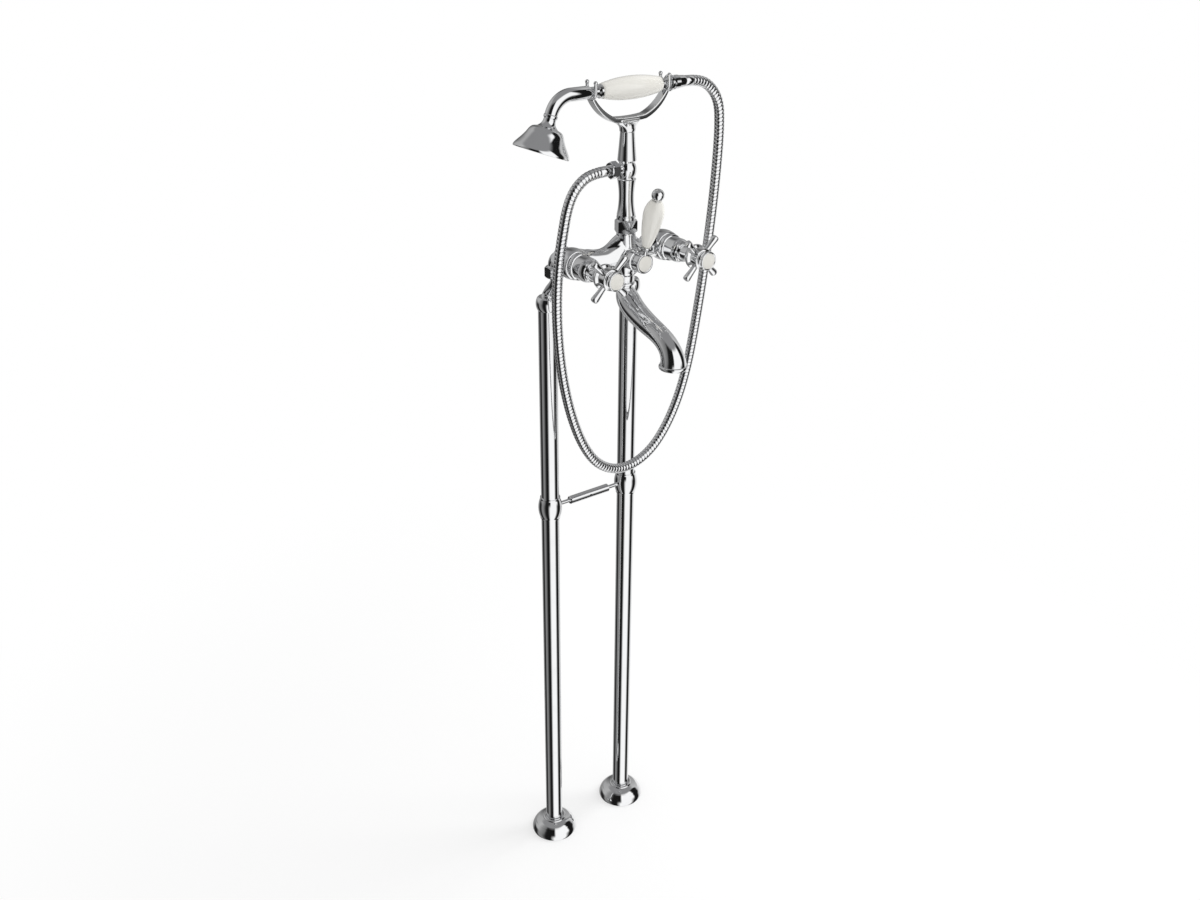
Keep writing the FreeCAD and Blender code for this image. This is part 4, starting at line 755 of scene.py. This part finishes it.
class BATH_OT_standpipes(bpy.types.Operator):
    """Finishes the standpipes, their flanges and the stay between them"""
    bl_idname = "bath.standpipes"
    bl_label = "Standpipes"

    def execute(self, context):
        drawn = chrome("drawn_chrome", 0.1, grain=(700.0, 700.0, 6.0))
        turned = chrome("turned_chrome", 0.15, grain=(30.0, 30.0, 900.0))
        bent = chrome("bent_chrome", 0.35)
        steel = bare_metal("blackened_steel", (0.30, 0.30, 0.31), (0.16, 0.16, 0.17))
        finish_nodes(both("standpipe"), drawn)
        finish_nodes(both("pipe_cap", "stay_collar", "stay_rod"), turned)
        for side, sign in SIDES:
            self.flange(side, sign, turned)
            self.neck(side, sign, bent)
        finish_nodes(both("floor_plate"), steel)
        finish_node("stay_turnbuckle", turned)
        finish_node("stay_grub_screws", steel)
        finish_nodes(both("inlet_elbow"), bent)
        finish_nodes(both("union_nut"), turned)
        return {"FINISHED"}

    def flange(self, side, sign, material):
        """A domed cover over the floor plate, with a rolled collar round the pipe."""
        # radius, level
        bore = 13.55
        dome = curved(((19.6, 23.2), (25.6, 20.6), (30.0, 16.6)))
        rim = curved(((30.3, 16.0), (33.6, 11.6), (35.9, 6.2), (36.5, 2.6), (36.2, 0.4)))
        collar = curved(((bore, 25.6), (16.2, 26.0), (18.3, 24.9), (18.6, 23.4)), 4)
        inside = [(35.4, 0.0), (34.7, 0.4), (34.2, 5.4), (28.4, 14.4), (18.4, 21.4),
                  (bore, 23.8)]
        turned_piece("flange_dome_" + side, inside + collar + dome + rim + [(35.4, 0.0)],
                     (PIPE_X * sign, 0, 0), (0, 0, 1), material, "stand",
                     "floor_flange_" + side)

    def neck(self, side, sign, material):
        """A slim bent tube from the pipe's cap to the union nut above and in front of it."""
        start, end, rings = 937.0, 985.0, 40
        bend_start, bend_height = 943.0, 31.0
        aside, forward = (VALVE_X - PIPE_X) * sign, -25.5
        # level, radius
        radii = ((start, 9.0), (941.4, 9.0), (943.4, 7.9), (947.0, 6.3), (950.0, 6.0),
                 (969.0, 6.0), (972.0, 6.4), (974.6, 7.8), (976.2, 8.9), (end, 8.9))
        stations = []
        for ring in range(rings + 1):
            level = start + (end - start) * ring / rings
            share = min(max((level - bend_start) / bend_height, 0.0), 1.0)
            lean = share * share * (3 - 2 * share)
            slope = 6 * share * (1 - share) / bend_height
            heading = Vector((aside * slope, forward * slope, 1.0)).normalized()
            centre = Vector((PIPE_X * sign + aside * lean, forward * lean, level)) * MM
            for (low, small), (high, large) in zip(radii, radii[1:]):
                if low <= level <= high:
                    radius = small + (large - small) * (level - low) / (high - low)
            stations.append((centre, heading, radius * MM, 0.0))
        bm = bmesh.new()
        sweep(bm, stations, (1, 0, 0), sides=48)
        piece = new_piece("slim_neck_" + side, bm, material, "stand")
        crisp_edges(piece)
        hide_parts("swan_neck_" + side)


class BATH_OT_body(bpy.types.Operator):
    """Finishes the mixer body, the column and the cradle"""
    bl_idname = "bath.body"
    bl_label = "Body and column"

    def execute(self, context):
        cast = chrome("cast_chrome", 0.5)
        turned = chrome("column_chrome", 0.15, grain=(30.0, 30.0, 900.0))
        recast("mixer_casting", "mixer_body", self.arms, cast, "stand", voxel=0.0007, rounds=6)
        recast("cradle_casting", "cradle", self.funnel, cast, "stand", voxel=0.0006, rounds=3)
        finish_nodes(("column_collar", "column_vase", "column_ball", "column_shaft",
                      "hose_nut_lower", "hose_ferrule_lower"), turned)
        return {"FINISHED"}

    def arms(self, bm):
        """The thick arms between the column and the valves' bulbs."""
        # distance from the column, Y, lowest and highest level, half the depth
        stations = curved((
            (6.5, -80.4, 991.0, 1037.6, 11.6), (12.0, -79.2, 991.0, 1031.2, 12.6),
            (19.5, -76.8, 991.2, 1024.8, 13.4), (30.0, -73.4, 991.4, 1019.4, 13.6),
            (40.0, -70.2, 991.6, 1018.4, 13.5), (49.0, -67.4, 991.6, 1018.6, 13.7),
            (57.0, -64.8, 991.0, 1020.6, 14.2), (64.0, -63.2, 990.4, 1022.4, 14.8)), 3)
        for _, sign in SIDES:
            sweep(bm, [(Vector((x * sign, y, (bottom + top) / 2)) * MM, Vector((sign, 0, 0)),
                        (deep * MM, (top - bottom) / 2 * MM), 0.0)
                       for x, y, bottom, top, deep in stations], (0, 1, 0), sides=64)

    def funnel(self, bm):
        """The neck's flare under the cradle's strap."""
        # level, half the width, half the depth
        widths = curved(((1168.0, 10.2, 10.2), (1171.0, 10.6, 10.2), (1174.5, 12.4, 9.2),
                         (1178.0, 16.6, 7.6), (1181.0, 22.5, 6.4), (1184.0, 29.0, 6.0)), 4)
        sweep(bm, [(Vector((0, COLUMN_PLANE, level)) * MM, Vector((0, 0, 1)),
                    (wide * MM, deep * MM), 0.0) for level, wide, deep in widths],
              (1, 0, 0), sides=64)


class BATH_OT_valves(bpy.types.Operator):
    """Finishes both valves with their cross handles"""
    bl_idname = "bath.valves"
    bl_label = "Valves and handles"

    def execute(self, context):
        turned = chrome("valve_chrome", 0.15, grain=(30.0, 900.0, 30.0))
        finish_nodes(both("valve_bonnet", "cross_handle", "handle_cup"), turned)
        brass = bare_metal("valve_brass", (0.72, 0.55, 0.28), (0.50, 0.36, 0.18))
        finish_nodes(both("valve_headwork", "valve_spindle"), brass)
        finish_nodes(both("handle_screw"), bare_metal(
            "screw_steel", (0.60, 0.60, 0.61), (0.42, 0.42, 0.43)))
        finish_nodes(both("handle_index"), glazed("index_glaze"))
        for (side, sign), body in zip(SIDES, ("hot_handle", "cold_handle")):
            self.clubs(side, VALVE_X * sign, body, turned)
            turned_piece("handle_bezel_" + side, bezel(radius=12.55, level=82.1),
                         (VALVE_X * sign, VALVE_FACE, VALVE_LEVEL), (0, -1, 0), turned, body)
        return {"FINISHED"}

    def clubs(self, side, x, body, material):
        """The four club-shaped arms of a cross handle."""
        # radius, distance from the spindle
        shaft = curved(((3.7, 9.5), (3.9, 16.0), (4.5, 25.0), (5.1, 31.5)), 4)
        tip = curved(((5.1, 31.5), (4.9, 34.0), (3.4, 35.6), (0, 36.2)), 4)
        bm = bmesh.new()
        for quarter in range(4):
            angle = math.radians(45 + 90 * quarter)
            lathe(bm, [(0, 9.5)] + shaft + tip[1:], (x, HANDLE_PLANE, VALVE_LEVEL),
                  (math.cos(angle), 0, math.sin(angle)), steps=32)
        crisp_edges(new_piece("handle_clubs_" + side, bm, material, body))


class BATH_OT_diverter(bpy.types.Operator):
    """Finishes the diverter and its lever"""
    bl_idname = "bath.diverter"
    bl_label = "Diverter lever"

    def execute(self, context):
        turned = chrome("diverter_chrome", 0.15, grain=(30.0, 900.0, 30.0))
        finish_nodes(("diverter_bonnet", "diverter_hub", "diverter_spindle", "lever_stem",
                      "lever_ball"), turned)
        finish_node("lever_grip", glazed("lever_glaze"))
        finish_node("diverter_index", glazed("diverter_glaze"))
        turned_piece("diverter_bezel", bezel(radius=13.3, level=24.2),
                     (0, DIVERTER_FACE, VALVE_LEVEL), (0, -1, 0), turned, "diverter")
        return {"FINISHED"}


class BATH_OT_spout(bpy.types.Operator):
    """Finishes the spout, its mouth and its nut"""
    bl_idname = "bath.spout"
    bl_label = "Spout"

    def execute(self, context):
        finish_nodes(("spout", "spout_outlet", "spout_nut"), chrome("spout_chrome", 0.4))
        return {"FINISHED"}


class BATH_OT_handset(bpy.types.Operator):
    """Finishes the hand shower"""
    bl_idname = "bath.handset"
    bl_label = "Hand shower"

    def execute(self, context):
        turned = chrome("handset_chrome", 0.2, grain=(900.0, 30.0, 30.0))
        finish_nodes(("grip_ferrule", "handset_tail", "hose_nut_upper"), turned)
        self.arm(turned)
        self.bell(turned)
        finish_node("handset_grip", glazed("grip_glaze"))
        low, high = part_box("rose_face")
        finish_node("rose_face", rose_plate("rose_satin", (low + high) / 2))
        return {"FINISHED"}

    def arm(self, material):
        """The bent tube between the grip's ferrule and the rose."""
        tube, bend_start, bend, rings = 8.3, 87.5, 30.0, 28
        turn = math.radians(70.0)
        # distance from the column, radius
        straight = ((48.2, 6.2), (60.4, 6.2), (61.4, 7.9), (62.2, tube), (bend_start, tube))
        line = [(Vector((-x, COLUMN_PLANE, HANDSET_LEVEL)), Vector((-1, 0, 0)), radius)
                for x, radius in straight]
        for ring in range(1, rings + 1):
            angle = turn * ring / rings
            line.append((Vector((-bend_start - bend * math.sin(angle), COLUMN_PLANE,
                                 HANDSET_LEVEL - bend * (1 - math.cos(angle)))),
                         Vector((-math.cos(angle), 0, -math.sin(angle))),
                         tube - 0.5 * max(0.0, ring / rings - 0.6)))
        end, heading, radius = line[-1]
        line.append((end + heading * 1.2, heading, radius))
        bm = bmesh.new()
        sweep(bm, [(centre * MM, heading, radius * MM, 0.0)
                   for centre, heading, radius in line], (0, 1, 0), sides=64)
        piece = new_piece("bent_arm", bm, material, "handset")
        crisp_edges(piece)
        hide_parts("handset_arm")

    def bell(self, material):
        """The rose: a collar, a short throat and a full, rolled bell."""
        # radius, distance from the arm's end
        collar = [(0, 0.2), (8.2, 0.2), (8.9, 1.0), (8.9, 3.4), (8.3, 4.2)]
        throat = curved(((7.7, 5.0), (8.1, 8.6), (9.6, 12.2), (12.6, 15.2)), 5)
        dome = curved(((13.0, 15.5), (18.4, 17.4), (21.6, 21.0), (24.2, 26.2), (27.4, 31.6),
                       (31.2, 37.0), (34.2, 41.4), (35.5, 44.6), (35.2, 46.2)), 5)
        inside = [(34.6, 46.5), (33.1, 46.5), (33.1, 43.9), (31.2, 43.9), (27.0, 34.0),
                  (20.0, 23.0), (11.0, 18.0), (0, 18.0)]
        turned_piece("rose_shell", collar + throat + dome + inside, ROSE_BASE, ROSE_AXIS,
                     material, "handset", "rose_bell", steps=128)


# ---------------------------------------------------------------- the panel

class BATH_PT_panel(bpy.types.Panel):
    """Lists the bath filler's pieces"""
    bl_idname = "BATH_PT_panel"
    bl_label = "Bath Filler"
    bl_space_type = "VIEW_3D"
    bl_region_type = "UI"
    bl_category = "Bath Filler"

    def draw(self, context):
        for operator in OPERATORS:
            self.layout.operator(operator.bl_idname)


GROUPS = (
    ("bath_studio", StudioSizes), ("bath_chrome", ChromeLook), ("bath_ceramic", CeramicLook),
    ("bath_hose", HoseSizes), ("bath_edges", EdgeSizes),
)
OPERATORS = (
    BATH_OT_stage, BATH_OT_hose, BATH_OT_standpipes, BATH_OT_body, BATH_OT_valves,
    BATH_OT_diverter, BATH_OT_spout, BATH_OT_handset,
)


def register():
    for name, group in GROUPS:
        bpy.utils.register_class(group)
        setattr(bpy.types.Scene, name, bpy.props.PointerProperty(type=group))
    for operator in OPERATORS:
        bpy.utils.register_class(operator)
    bpy.utils.register_class(BATH_PT_panel)


def unregister():
    bpy.utils.unregister_class(BATH_PT_panel)
    for operator in reversed(OPERATORS):
        bpy.utils.unregister_class(operator)
    for name, group in reversed(GROUPS):
        delattr(bpy.types.Scene, name)
        bpy.utils.unregister_class(group)


def main():
    """Dresses the whole object."""
    register()
    bpy.ops.bath.stage()
    bpy.ops.bath.hose()
    bpy.ops.bath.standpipes()
    bpy.ops.bath.body()
    bpy.ops.bath.valves()
    bpy.ops.bath.diverter()
    bpy.ops.bath.spout()
    bpy.ops.bath.handset()
    bpy.context.view_layer.update()


if __name__ == "__main__":
    main()
